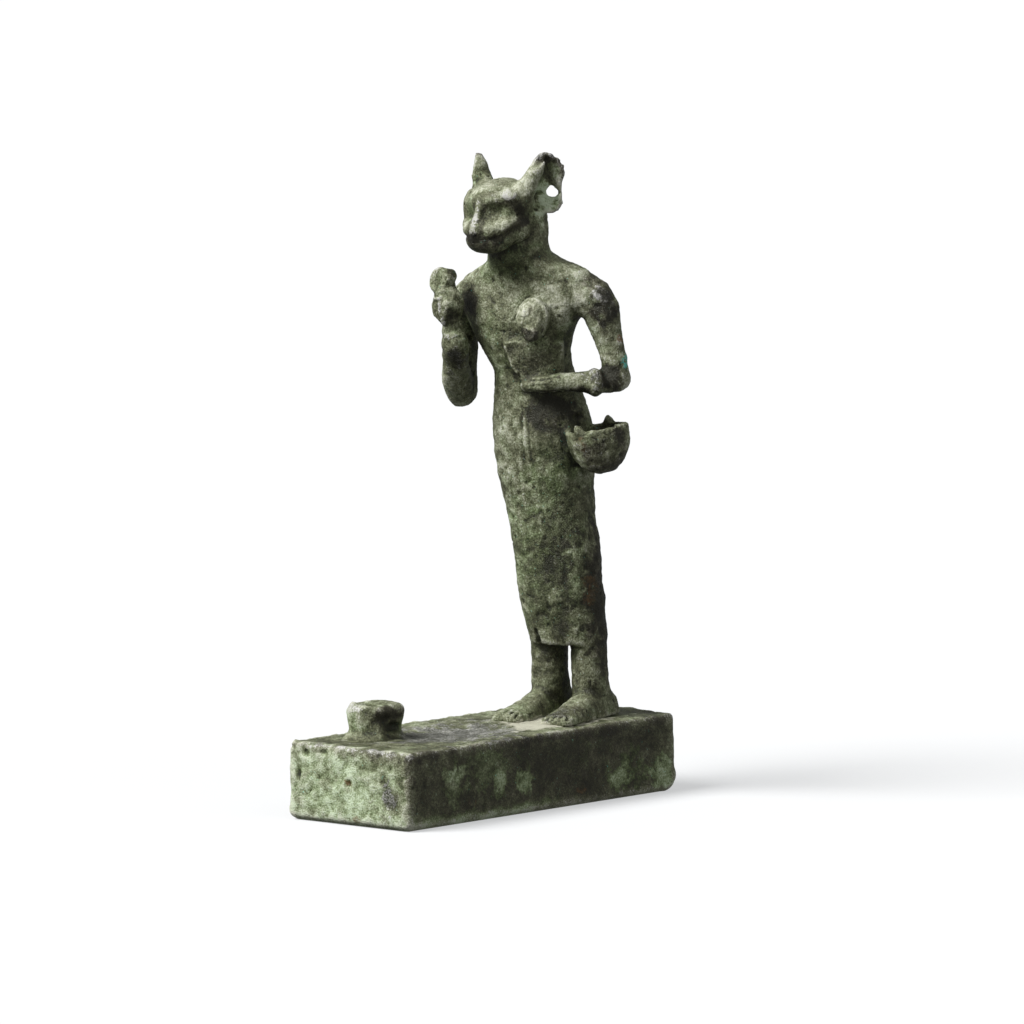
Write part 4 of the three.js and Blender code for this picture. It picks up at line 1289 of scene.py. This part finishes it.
        cast.stain(FIGURE, {
            Tint.PALE: (
                Stain((-6.0, -10.0, 66.0), (6.0, 5.0, 5.0), 0.35),
                Stain((2.2, -9.4, 65.0), (6.4, 4.5, 5.0), 1.3),
                Streak(
                    ((-5.2, -11.9, 58.2), (-4.8, -11.9, 56.8), (-4.0, -11.6, 55.0), (-2.9, -11.5, 53.6)),
                    0.45, 0.8,
                ),
                Stain((-0.3, -14.2, 61.5), (0.38, 0.8, 0.45), 3.4, ragged=0.3),
                Stain((1.0, -13.9, 61.2), (0.38, 0.8, 0.5), 3.4, ragged=0.3),
                Stain((-1.6, -13.4, 60.6), (0.38, 0.8, 0.4), 3.0, ragged=0.3),
                Stain((-0.4, -13.0, 64.4), (2.6, 2.2, 2.4), 1.6, ragged=0.3),
                Stain((-6.0, -7.0, 42.0), (4.0, 5.0, 11.0), 0.4),
            ),
            Tint.DARK: (
                # Painted shade in the armpit
                Stain((-12.4, -8.0, 64.8), (2.4, 3.4, 3.8), 1.7, ragged=0.3),
                Stain((-0.6, -11.0, 56.0), (4.6, 3.4, 3.4), 0.45),
                Streak(((-4.6, -11.2, 60.2), (-2.8, -11.2, 60.4)), 0.6, 0.5),
                # Painted shadow lines under the collar's right rim and in the groove beside its left rim
                Streak(((1.2, -10.7, 58.8), (2.0, -9.4, 58.5), (2.8, -8.0, 58.1)), 0.5, 0.5),
                Streak(
                    ((-6.1, -11.0, 58.4), (-5.8, -11.0, 56.6), (-4.9, -10.8, 54.8), (-3.6, -10.8, 53.2)),
                    0.5, 0.9,
                ),
                # Painted shade: the band under the aegis at the waist
                Streak(((-3.0, -11.4, 51.4), (1.0, -11.3, 51.3), (5.0, -9.3, 51.5)), 0.6, 1.0),
                Streak(((-2.0, -11.7, 53.1), (1.2, -11.7, 53.6), (3.6, -10.4, 54.0)), 0.4, 0.8),
                Stain((0.1, -13.7, 60.6), (2.3, 1.8, 1.8), 1.5, ragged=0.7),
                Streak(((0.3, -13.3, 65.0), (0.2, -13.8, 63.2), (0.4, -14.0, 61.8)), 0.4, 0.6),
                Streak(
                    (
                        (-3.6, -12.0, 62.0), (-3.8, -11.8, 63.8), (-2.6, -11.8, 66.0), (-0.3, -12.0, 67.0),
                        (1.9, -11.8, 65.8), (2.9, -11.4, 63.6),
                    ),
                    0.5, 0.6,
                ),
                Stain((1.8, -8.2, 48.2), (5.4, 3.6, 2.8), 1.6),
                Stain((0.6, -8.8, 45.6), (3.0, 2.4, 2.4), 0.4),
                # Painted shade inside the basket
                Stain((8.0, -6.2, 47.0), (4.5, 4.5, 3.4), 1.4, ragged=0.05),
                Stain((-13.2, -12.6, 55.6), (1.6, 3.2, 3.8), 0.6, ragged=0.3),
                Streak(((-16.6, -13.0, 66.1), (-15.0, -14.1, 66.4), (-13.4, -13.3, 66.7)), 0.5, 0.8),
                Stain((-13.8, -13.0, 69.4), (1.2, 1.6, 1.0), 0.9),
                Stain((-13.2, -13.6, 63.0), (1.0, 1.6, 2.0), 0.6),
                # Painted shade under the shoulder ridge
                Stain((9.8, -6.2, 64.2), (2.2, 3.0, 2.4), 1.5),
                Stain((8.0, -5.0, 67.6), (3.6, 3.6, 2.6), 0.8),
                # Painted shade under the shoulder ridge
                Stain((8.8, -7.4, 64.6), (2.2, 2.2, 1.2), 0.6),
                Stain((10.6, -6.6, 53.8), (3.0, 3.2, 2.4), 1.5),
                Stain((6.8, -9.4, 51.8), (2.4, 2.0, 1.2), 1.2),
                Stain((9.9, -8.0, 62.4), (1.4, 2.0, 2.2), 0.9),
                Stain((12.0, -4.8, 58.0), (1.2, 1.6, 1.2), 0.5),
                # Dark down her left side: partly stain, partly painted shade on the side away from the key
                Stain((6.2, -1.0, 20.0), (2.6, 4.5, 16.0), 1.2),
                Stain((1.2, -7.2, 29.0), (3.6, 4.0, 17.0), 0.5, ragged=0.7),
                Stain((5.0, -5.4, 30.0), (3.0, 4.0, 17.0), 0.15, ragged=0.8),
                Stain((-1.0, -5.4, 19.0), (7.0, 5.0, 12.0), 0.6, ragged=0.7),
                Stain((9.8, -7.0, 42.0), (5.0, 5.0, 5.0), 0.8),
                Stain((8.2, -7.0, 44.6), (3.6, 3.6, 2.6), 0.8),
                Stain((0.4, -3.0, 7.0), (5.5, 4.0, 5.0), 0.35),
                Stain((4.4, -9.4, 2.4), (2.8, 4.4, 2.2), 0.6),
            ),
            Tint.MINT: (
                Stain((-13.6, -7.4, 60.6), (2.0, 3.2, 1.8), 1.3),
                Stain((3.0, -7.4, 62.2), (1.4, 2.2, 1.4), 0.4),
                Stain((3.9, -5.2, 22.0), (0.7, 1.4, 3.0), 0.6),
            ),
            Tint.GREEN: (
                Stain((-7.8, -9.6, 58.0), (3.0, 3.0, 6.0), 0.5),
                Stain((3.4, -7.6, 60.4), (2.2, 3.4, 3.4), 0.6),
                Stain((2.4, -8.0, 47.0), (5.0, 3.4, 3.0), 0.4),
                Stain((12.2, -4.6, 56.6), (1.2, 2.2, 2.6), 0.8),
                Stain((2.6, -7.0, 40.0), (4.5, 4.0, 4.5), 0.5),
                Stain((-1.0, -6.0, 26.0), (9.0, 6.0, 17.0), 0.75, square=3.0),
            ),
            Tint.BARE_AND_HIGHLIGHT: (
                Streak(((-5.6, -12.1, 58.8), (-4.2, -12.2, 59.3), (-2.6, -12.2, 59.4)), 0.45, 1.0, ragged=0.6),
                Streak(
                    ((1.2, -11.4, 60.0), (1.9, -10.3, 59.7), (2.5, -9.2, 59.4), (3.2, -7.9, 59.2)),
                    0.45, 1.0, ragged=0.6,
                ),
                Streak(((-14.8, -13.4, 57.8), (-15.0, -12.6, 55.6), (-14.9, -11.0, 53.4)), 0.7, 0.8),
                Stain((-13.2, -12.8, 55.4), (1.4, 3.0, 3.4), 1.3),
                Streak(((-16.4, -13.4, 65.2), (-15.0, -14.4, 65.4), (-13.4, -13.6, 65.8)), 0.6, 1.1, ragged=0.6),
                Streak(((-15.1, -14.5, 65.2), (-14.9, -14.5, 63.4), (-14.3, -14.2, 61.2)), 0.6, 0.9, ragged=0.6),
                Stain((-13.6, -14.2, 59.4), (2.2, 1.6, 1.2), 0.6),
                Stain((-15.2, -13.0, 69.2), (2.0, 2.0, 1.0), 0.5),
                # Partly bare wear, partly painted highlight on the shoulder ridge
                Stain((9.0, -6.9, 66.2), (2.2, 2.4, 1.6), 0.7),
                Stain((7.6, -9.2, 54.0), (2.0, 2.0, 1.2), 0.7),
                Stain((10.4, -8.0, 44.0), (4.4, 4.4, 4.4), 0.35),
                Stain((4.4, -11.0, 2.2), (2.6, 3.6, 1.6), 0.8),
                Stain((-3.6, -12.4, 2.0), (2.2, 2.4, 1.2), 0.4),
            ),
            Tint.TURQUOISE: (
                Stain((12.4, -4.6, 56.4), (0.8, 1.6, 1.7), 0.85, ragged=0.9),
            ),
            Tint.RUST: (
                Stain((11.5, -5.0, 59.6), (0.8, 1.4, 1.0), 1.0),
                Stain((5.1, -3.6, 20.6), (1.4, 2.0, 3.2), 0.5, ragged=0.9),
                Stain((7.4, -10.6, 44.0), (1.6, 1.6, 1.6), 0.5),
            ),
            Tint.DUST: (
                Stain((0.0, -8.0, 0.0), (9.0, 9.0, 0.8), 0.9),
            ),
        })

    def dress(self, cast: Casting) -> None:
        """Give her her patina."""
        cast.finish(self.node, Patina("figure patina").material())


# The plinth


@dataclass(frozen=True)
class Plinth:
    """The long block that she stands on, with the stump of what stood before her.

    Attributes:
        node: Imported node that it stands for.
        cell: Side of its even faces.
        seed: Number that fixes its weathering.
        half_width: Half its size from side to side.
        half_length: Half its size from front to back.
        top: Height of its top.
        band: Height of the strips along its upper and lower edges that wear in their own way.
        foot_in: How far its lower edge is drawn in.
        front: Places along Y between which the front face is reached.
        left_side: The same along X for the long face on her left, which the photograph shows.
        right_side: The same for the long face on her right.
    """

    node: str = "plinth"
    cell: float = 0.36
    seed: int = 29
    half_width: float = 12.3
    half_length: float = 31.9
    top: float = 12.0
    band: float = 1.2
    foot_in: float = 0.5
    front: tuple[float, float] = (-30.4, -31.6)
    left_side: tuple[float, float] = (11.4, 12.1)
    right_side: tuple[float, float] = (-10.6, -11.8)

    def build(self) -> Casting:
        """Shape it.

        Returns:
            Its worked surface.
        """
        cast = Casting(self.node, "plinth_bronze", self.cell, self.seed)
        cast.calm(6)
        self.wear(cast)
        self.colour(cast)
        return cast

    def wear(self, cast: Casting) -> None:
        """Dish its top, break its corners and edges, hollow the stump and corrode the faces.

        Args:
            cast: Its casting.
        """
        raised = smoothstep(0.0, self.band, cast.points[:, 2])
        cast.work(SHARED, [
            Dab((1.0, -8.0, 12.1), (9.0, 16.0, 2.5), -0.35, flat_top=0.4),
            Dab((1.5, 11.0, 12.1), (9.5, 13.0, 1.2), 0.22, flat_top=0.5),
            Dab((8.5, 4.5, 12.1), (3.4, 4.0, 1.6), 0.25, flat_top=0.3),
            Plane((-11.9, -31.4, 0.7), (-0.75, -0.3, -0.6), (1.6, 2.0, 2.0), 0.35),
            Plane((11.4, 31.2, 1.2), (0.15, 0.75, -0.6), (5.0, 2.6, 2.8), 0.75),
            Plane((-12.0, -31.4, 11.7), (-0.8, -0.3, 0.5), (1.4, 1.8, 1.4), 0.5),
            Plane((-3.3, -23.0, 15.0), (0.62, -0.78, 0.0), (2.6, 2.6, 3.6), 0.8),
            Dab((-2.6, -20.6, 15.0), (2.0, 2.8, 2.0), -0.8),
            Dab((-2.0, -18.6, 13.8), (1.5, 2.4, 1.1), -0.7),
            Dab((-2.3, -17.6, 16.2), (1.3, 1.8, 1.0), 0.35),
            Dab((-7.0, -22.6, 17.3), (1.0, 1.0, 1.0), 0.4),
            Dab((-6.2, -20.0, 17.3), (1.2, 1.2, 1.0), 0.35),
            Dab((-4.4, -21.4, 17.4), (1.4, 1.6, 1.0), -0.35),
            Dab((0.0, -32.0, 6.6), (1.0, 1.2, 0.9), -0.5),
            Dab((-10.1, -32.0, 7.3), (0.8, 1.2, 1.3), -0.45),
            Dab((-8.6, -31.8, 10.6), (1.3, 1.2, 0.8), -0.4),
            Dab((-5.0, -31.8, 11.0), (1.2, 1.2, 0.7), -0.4),
            Dab((8.6, -31.8, 4.4), (2.2, 1.2, 2.6), -0.18),
        ])
        face = smoothstep(*self.front, cast.points[:, 1])
        side = smoothstep(*self.left_side, cast.points[:, 0])
        far = smoothstep(*self.right_side, cast.points[:, 0])
        rim = np.abs(cast.points[:, 2] - self.top) < self.band
        low = np.clip(1.0 - cast.points[:, 2] / self.band, 0.0, 1.0) ** 2
        for axis, half in enumerate((self.half_width, self.half_length)):
            across = cast.points[:, axis]
            edge = smoothstep(half - 1.5, half - 0.2, np.abs(across))
            cast.points[:, axis] = across - np.sign(across) * self.foot_in * low * edge
        cast.roughen(6.0, 0.16, 2, raised * (1.0 - 0.5 * side))
        cast.roughen(1.7, 0.10, 4, raised * (1.0 + 0.5 * face + 1.2 * far * rim - 0.5 * side))
        cast.pit(1.2, 0.2, 0.42, raised * (0.4 + 0.5 * face))
        cast.pit(2.0, 0.4, 0.36, raised * rim * np.maximum(face, far))
        cast.points[:, 2] = np.maximum(cast.points[:, 2], 0.0)

    def colour(self, cast: Casting) -> None:
        """Lay its stains, and the painted shade among them.

        Args:
            cast: Its casting.
        """
        cast.read_relief()
        cast.stain(SHARED, {
            Tint.MINT: (
                Stain((0.0, -32.0, 6.0), (15.0, 1.8, 8.0), 1.2, square=6.0, ragged=0.15),
                Stain((8.0, -31.6, 10.6), (6.5, 2.0, 2.4), -0.5),
                Stain((6.9, -32.0, 7.4), (1.0, 1.2, 1.0), -0.9),
                Stain((8.6, -32.0, 4.6), (2.2, 1.2, 2.6), -0.9, ragged=0.4),
                Stain((12.4, -20.9, 8.0), (1.2, 1.6, 1.6), 1.0, ragged=0.9),
                Streak(
                    (
                        (12.4, -10.4, 6.9), (12.4, -9.2, 5.8), (12.4, -10.2, 4.6), (12.4, -11.3, 5.6),
                        (12.4, -10.4, 6.9),
                    ),
                    0.7, 1.4, ragged=0.6,
                ),
                Stain((12.4, -4.6, 5.1), (1.2, 2.4, 1.7), 1.9, ragged=0.9),
                Stain((12.4, 18.8, 3.2), (1.4, 2.4, 2.4), 1.4, ragged=0.9),
                Stain((12.4, 28.6, 3.6), (1.2, 2.6, 2.6), 1.6, ragged=0.9),
                Stain((-8.4, -22.6, 14.6), (2.4, 3.0, 3.0), 0.6),
            ),
            Tint.GREEN: (
                Stain((-2.0, -32.0, 5.0), (8.0, 1.5, 4.0), 0.3),
                Stain((12.4, -21.4, 6.6), (1.4, 3.0, 4.2), 2.0, ragged=0.9),
                Stain((12.4, -12.6, 8.0), (1.4, 6.4, 3.8), 1.5, ragged=0.8),
                Stain((12.4, -4.6, 5.6), (1.2, 3.0, 2.4), 0.9, ragged=0.9),
                Stain((12.4, 18.8, 3.4), (1.4, 3.8, 3.4), 1.8, ragged=0.9),
                Stain((12.4, 28.4, 3.6), (1.4, 3.0, 3.0), 1.6, ragged=0.8),
                Stain((12.4, 6.0, 8.0), (1.4, 6.0, 2.4), 0.5, ragged=1.0),
                Stain((12.4, -14.0, 0.8), (1.6, 19.0, 1.3), 1.3, square=4.0),
                Stain((-2.8, -18.6, 13.4), (2.6, 3.4, 1.8), 0.8),
                Stain((-6.0, -23.8, 14.6), (2.4, 1.6, 1.8), 0.4),
            ),
            Tint.RUST: (
                Stain((0.0, -32.0, 6.6), (1.2, 1.2, 1.1), 0.8),
                Stain((-10.1, -32.0, 7.3), (0.9, 1.2, 1.3), 0.5),
                Stain((1.8, -32.0, 1.2), (1.2, 1.2, 0.8), 0.6),
                Stain((12.4, -2.0, 6.0), (1.2, 34.0, 6.0), 0.22, square=4.0, ragged=0.9),
                Stain((12.4, -17.0, 3.4), (1.2, 2.0, 1.2), 0.2, ragged=0.9),
                Stain((12.4, 9.0, 2.4), (1.2, 1.4, 0.8), 0.3, ragged=0.6),
            ),
            Tint.BARE_AND_HIGHLIGHT: (
                Stain((0.0, -31.6, 11.9), (14.0, 1.0, 0.6), 0.75, square=4.0, ragged=0.7),
                Stain((8.3, -32.0, 5.2), (1.7, 1.2, 2.6), 1.6),
                Stain((1.0, -8.0, 12.0), (10.0, 19.0, 1.2), 1.7),
                Stain((-5.8, -22.8, 17.0), (2.8, 2.4, 0.9), 0.8),
            ),
            Tint.DARK: (
                # The whole side away from the key: partly its own dark brown, partly painted shade
                Stain((13.4, 0.0, 5.5), (2.2, 40.0, 9.0), 0.75, square=6.0, ragged=0.12),
                Streak(((-12.0, -31.9, 11.7), (12.0, -31.9, 11.7)), 1.0, 0.7, ragged=0.9),
                Streak(((12.3, -31.9, 1.0), (12.3, -31.9, 11.8), (12.3, 31.0, 11.8)), 1.0, 0.5, ragged=0.9),
                Stain((0.5, -4.0, 12.0), (12.0, 30.0, 1.2), 0.15, square=5.0, ragged=0.35),
                Stain((8.3, -32.0, 5.2), (1.5, 1.2, 2.6), 0.15),
                # Painted shade on the stump's hollowed side away from the key
                Stain((-1.2, -20.2, 15.0), (1.8, 3.0, 3.2), 1.1),
                Stain((-2.2, -20.0, 15.4), (1.8, 3.0, 1.8), 0.8),
            ),
            Tint.PALE: (
                Stain((12.4, -21.4, 6.8), (1.4, 2.6, 3.8), 1.5, ragged=0.9),
                Stain((12.4, -12.6, 8.0), (1.4, 6.0, 3.4), 1.0, ragged=0.8),
                Stain((12.4, -14.0, 0.6), (1.6, 19.0, 1.0), 0.8, square=4.0),
                Stain((1.0, -6.0, 12.0), (8.0, 15.0, 1.2), 0.6),
                Stain((-6.0, 0.0, 12.2), (5.0, 30.0, 1.4), 0.3, square=4.0),
                Stain((-2.0, -24.0, 12.2), (9.0, 6.0, 1.4), 0.5),
            ),
            Tint.DUST: (
                Stain((4.6, 8.6, 12.4), (8.0, 9.0, 1.2), 1.2),
                Stain((4.0, 20.0, 12.4), (7.0, 8.0, 1.2), 0.5),
            ),
        })

    def dress(self, cast: Casting) -> None:
        """Give it its patina."""
        patina = Patina("plinth patina", streaks=1.0, level=0.48, relief=0.22, blotch=0.65)
        cast.finish(self.node, patina.material())


# The studio


def towards(azimuth: float, elevation: float) -> Vector:
    """Direction to a place in the sky, its azimuth turned from straight ahead of the plinth, both in degrees."""
    turn, rise = math.radians(azimuth), math.radians(elevation)
    return Vector((math.sin(turn) * math.cos(rise), -math.cos(turn) * math.cos(rise), math.sin(rise)))


def looking(name: str, data: bpy.types.ID, away: Vector) -> bpy.types.Object:
    """Put a camera or light into the scene.

    Args:
        name: Its name.
        data: What it is, a camera or a light.
        away: Direction from what it looks at to where it stands.

    Returns:
        Its object, which looks back along that direction.
    """
    made = bpy.data.objects.new(name, data)
    made.rotation_mode = "QUATERNION"
    made.rotation_quaternion = (-away).to_track_quat("-Z", "Y")
    bpy.context.scene.collection.objects.link(made)
    return made


@dataclass(frozen=True)
class Studio:
    """A pale floor, a soft key from the left, a weak fill and the camera.

    Attributes:
        azimuth: Where the camera stands, turned from straight ahead of the plinth, in degrees.
        elevation: Its height over the horizon as seen from the target, in degrees.
        distance: From the target, in metres.
        lens: Focal length, in mm of a 36 mm sensor.
        right: How far the target lies to the camera's right of the origin, in mm.
        height: The target's height, in mm.
        ground: Half the side of the floor, in metres.
    """

    azimuth: float = 40.429
    elevation: float = 7.205
    distance: float = 4.0
    lens: float = 914.52
    right: float = 4.421
    height: float = 45.409
    ground: float = 8.0

    def camera(self) -> None:
        """Set up the camera."""
        turn = math.radians(self.azimuth)
        back = towards(self.azimuth, self.elevation)
        aside = Vector((math.cos(turn), math.sin(turn), 0.0))
        target = aside * self.right * MM + Vector((0.0, 0.0, self.height * MM))
        data = bpy.data.cameras.new("camera")
        data.lens, data.sensor_width = self.lens, 36.0
        data.clip_start, data.clip_end = 0.1, 40.0
        made = looking("camera", data, back)
        made.location = target + back * self.distance
        bpy.context.scene.camera = made

    def sun(self, name: str, azimuth: float, elevation: float, strength: float, spread: float) -> None:
        """Hang a broad soft light far off.

        Args:
            name: Its name.
            azimuth: Where it stands, as the camera's azimuth is given, in degrees.
            elevation: Its height, in degrees.
            strength: How strong it is.
            spread: How wide it looks, in degrees.
        """
        data = bpy.data.lights.new(name, "SUN")
        data.energy, data.angle = strength, math.radians(spread)
        looking(name, data, towards(azimuth, elevation))

    def floor(self) -> None:
        """Lay the pale floor."""
        work = bmesh.new()
        bmesh.ops.create_grid(work, x_segments=1, y_segments=1, size=self.ground)
        mesh = bpy.data.meshes.new("floor")
        work.to_mesh(mesh)
        work.free()
        made = bpy.data.objects.new("floor", mesh)
        bpy.context.scene.collection.objects.link(made)
        mesh.materials.append(Bench("pale floor").closed({
            "Base Color": (0.30, 0.302, 0.303),
            "Roughness": 0.9,
            "Specular IOR Level": 0.0,
            "Emission Color": (0.98, 0.99, 1.0),
            "Emission Strength": 0.50,
        }))
        made.visible_diffuse = False
        made.visible_glossy = False

    def sky(self) -> None:
        """Fill the room with light that falls off towards the right and the back."""
        world = bpy.data.worlds.new("room")
        world.use_nodes = True
        tree = world.node_tree
        tree.nodes.clear()
        where = tree.nodes.new("ShaderNodeTexCoord")
        dot = tree.nodes.new("ShaderNodeVectorMath")
        dot.operation = "DOT_PRODUCT"
        dot.inputs[1].default_value = towards(azimuth=-35.0, elevation=45.0)
        strength = tree.nodes.new("ShaderNodeMapRange")
        for name, value in (("From Min", -0.6), ("To Min", 0.16), ("To Max", 0.30)):
            strength.inputs[name].default_value = value
        light = tree.nodes.new("ShaderNodeBackground")
        light.inputs["Color"].default_value = (0.99, 1.0, 1.0, 1.0)
        out = tree.nodes.new("ShaderNodeOutputWorld")
        tree.links.new(where.outputs["Generated"], dot.inputs[0])
        tree.links.new(dot.outputs["Value"], strength.inputs["Value"])
        tree.links.new(strength.outputs["Result"], light.inputs["Strength"])
        tree.links.new(light.outputs["Background"], out.inputs["Surface"])
        bpy.context.scene.world = world

    def build(self) -> None:
        """Set up the whole studio."""
        self.camera()
        self.floor()
        self.sky()
        self.sun("key", azimuth=-25.0, elevation=48.0, strength=5.8, spread=32.0)
        self.sun("fill", azimuth=92.0, elevation=24.0, strength=0.75, spread=70.0)
        view = bpy.context.scene.view_settings
        view.view_transform = "Standard"
        view.look = "None"


def main() -> None:
    """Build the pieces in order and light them."""
    logging.basicConfig(level=logging.INFO, format="%(message)s")
    Studio().build()
    goddess, block = CatFigure(), Plinth()
    figure, plinth = goddess.build(), block.build()
    figure.read_shelter(others=[plinth])
    plinth.read_shelter(others=[figure])
    goddess.dress(figure)
    block.dress(plinth)


if __name__ == "__main__":
    main()
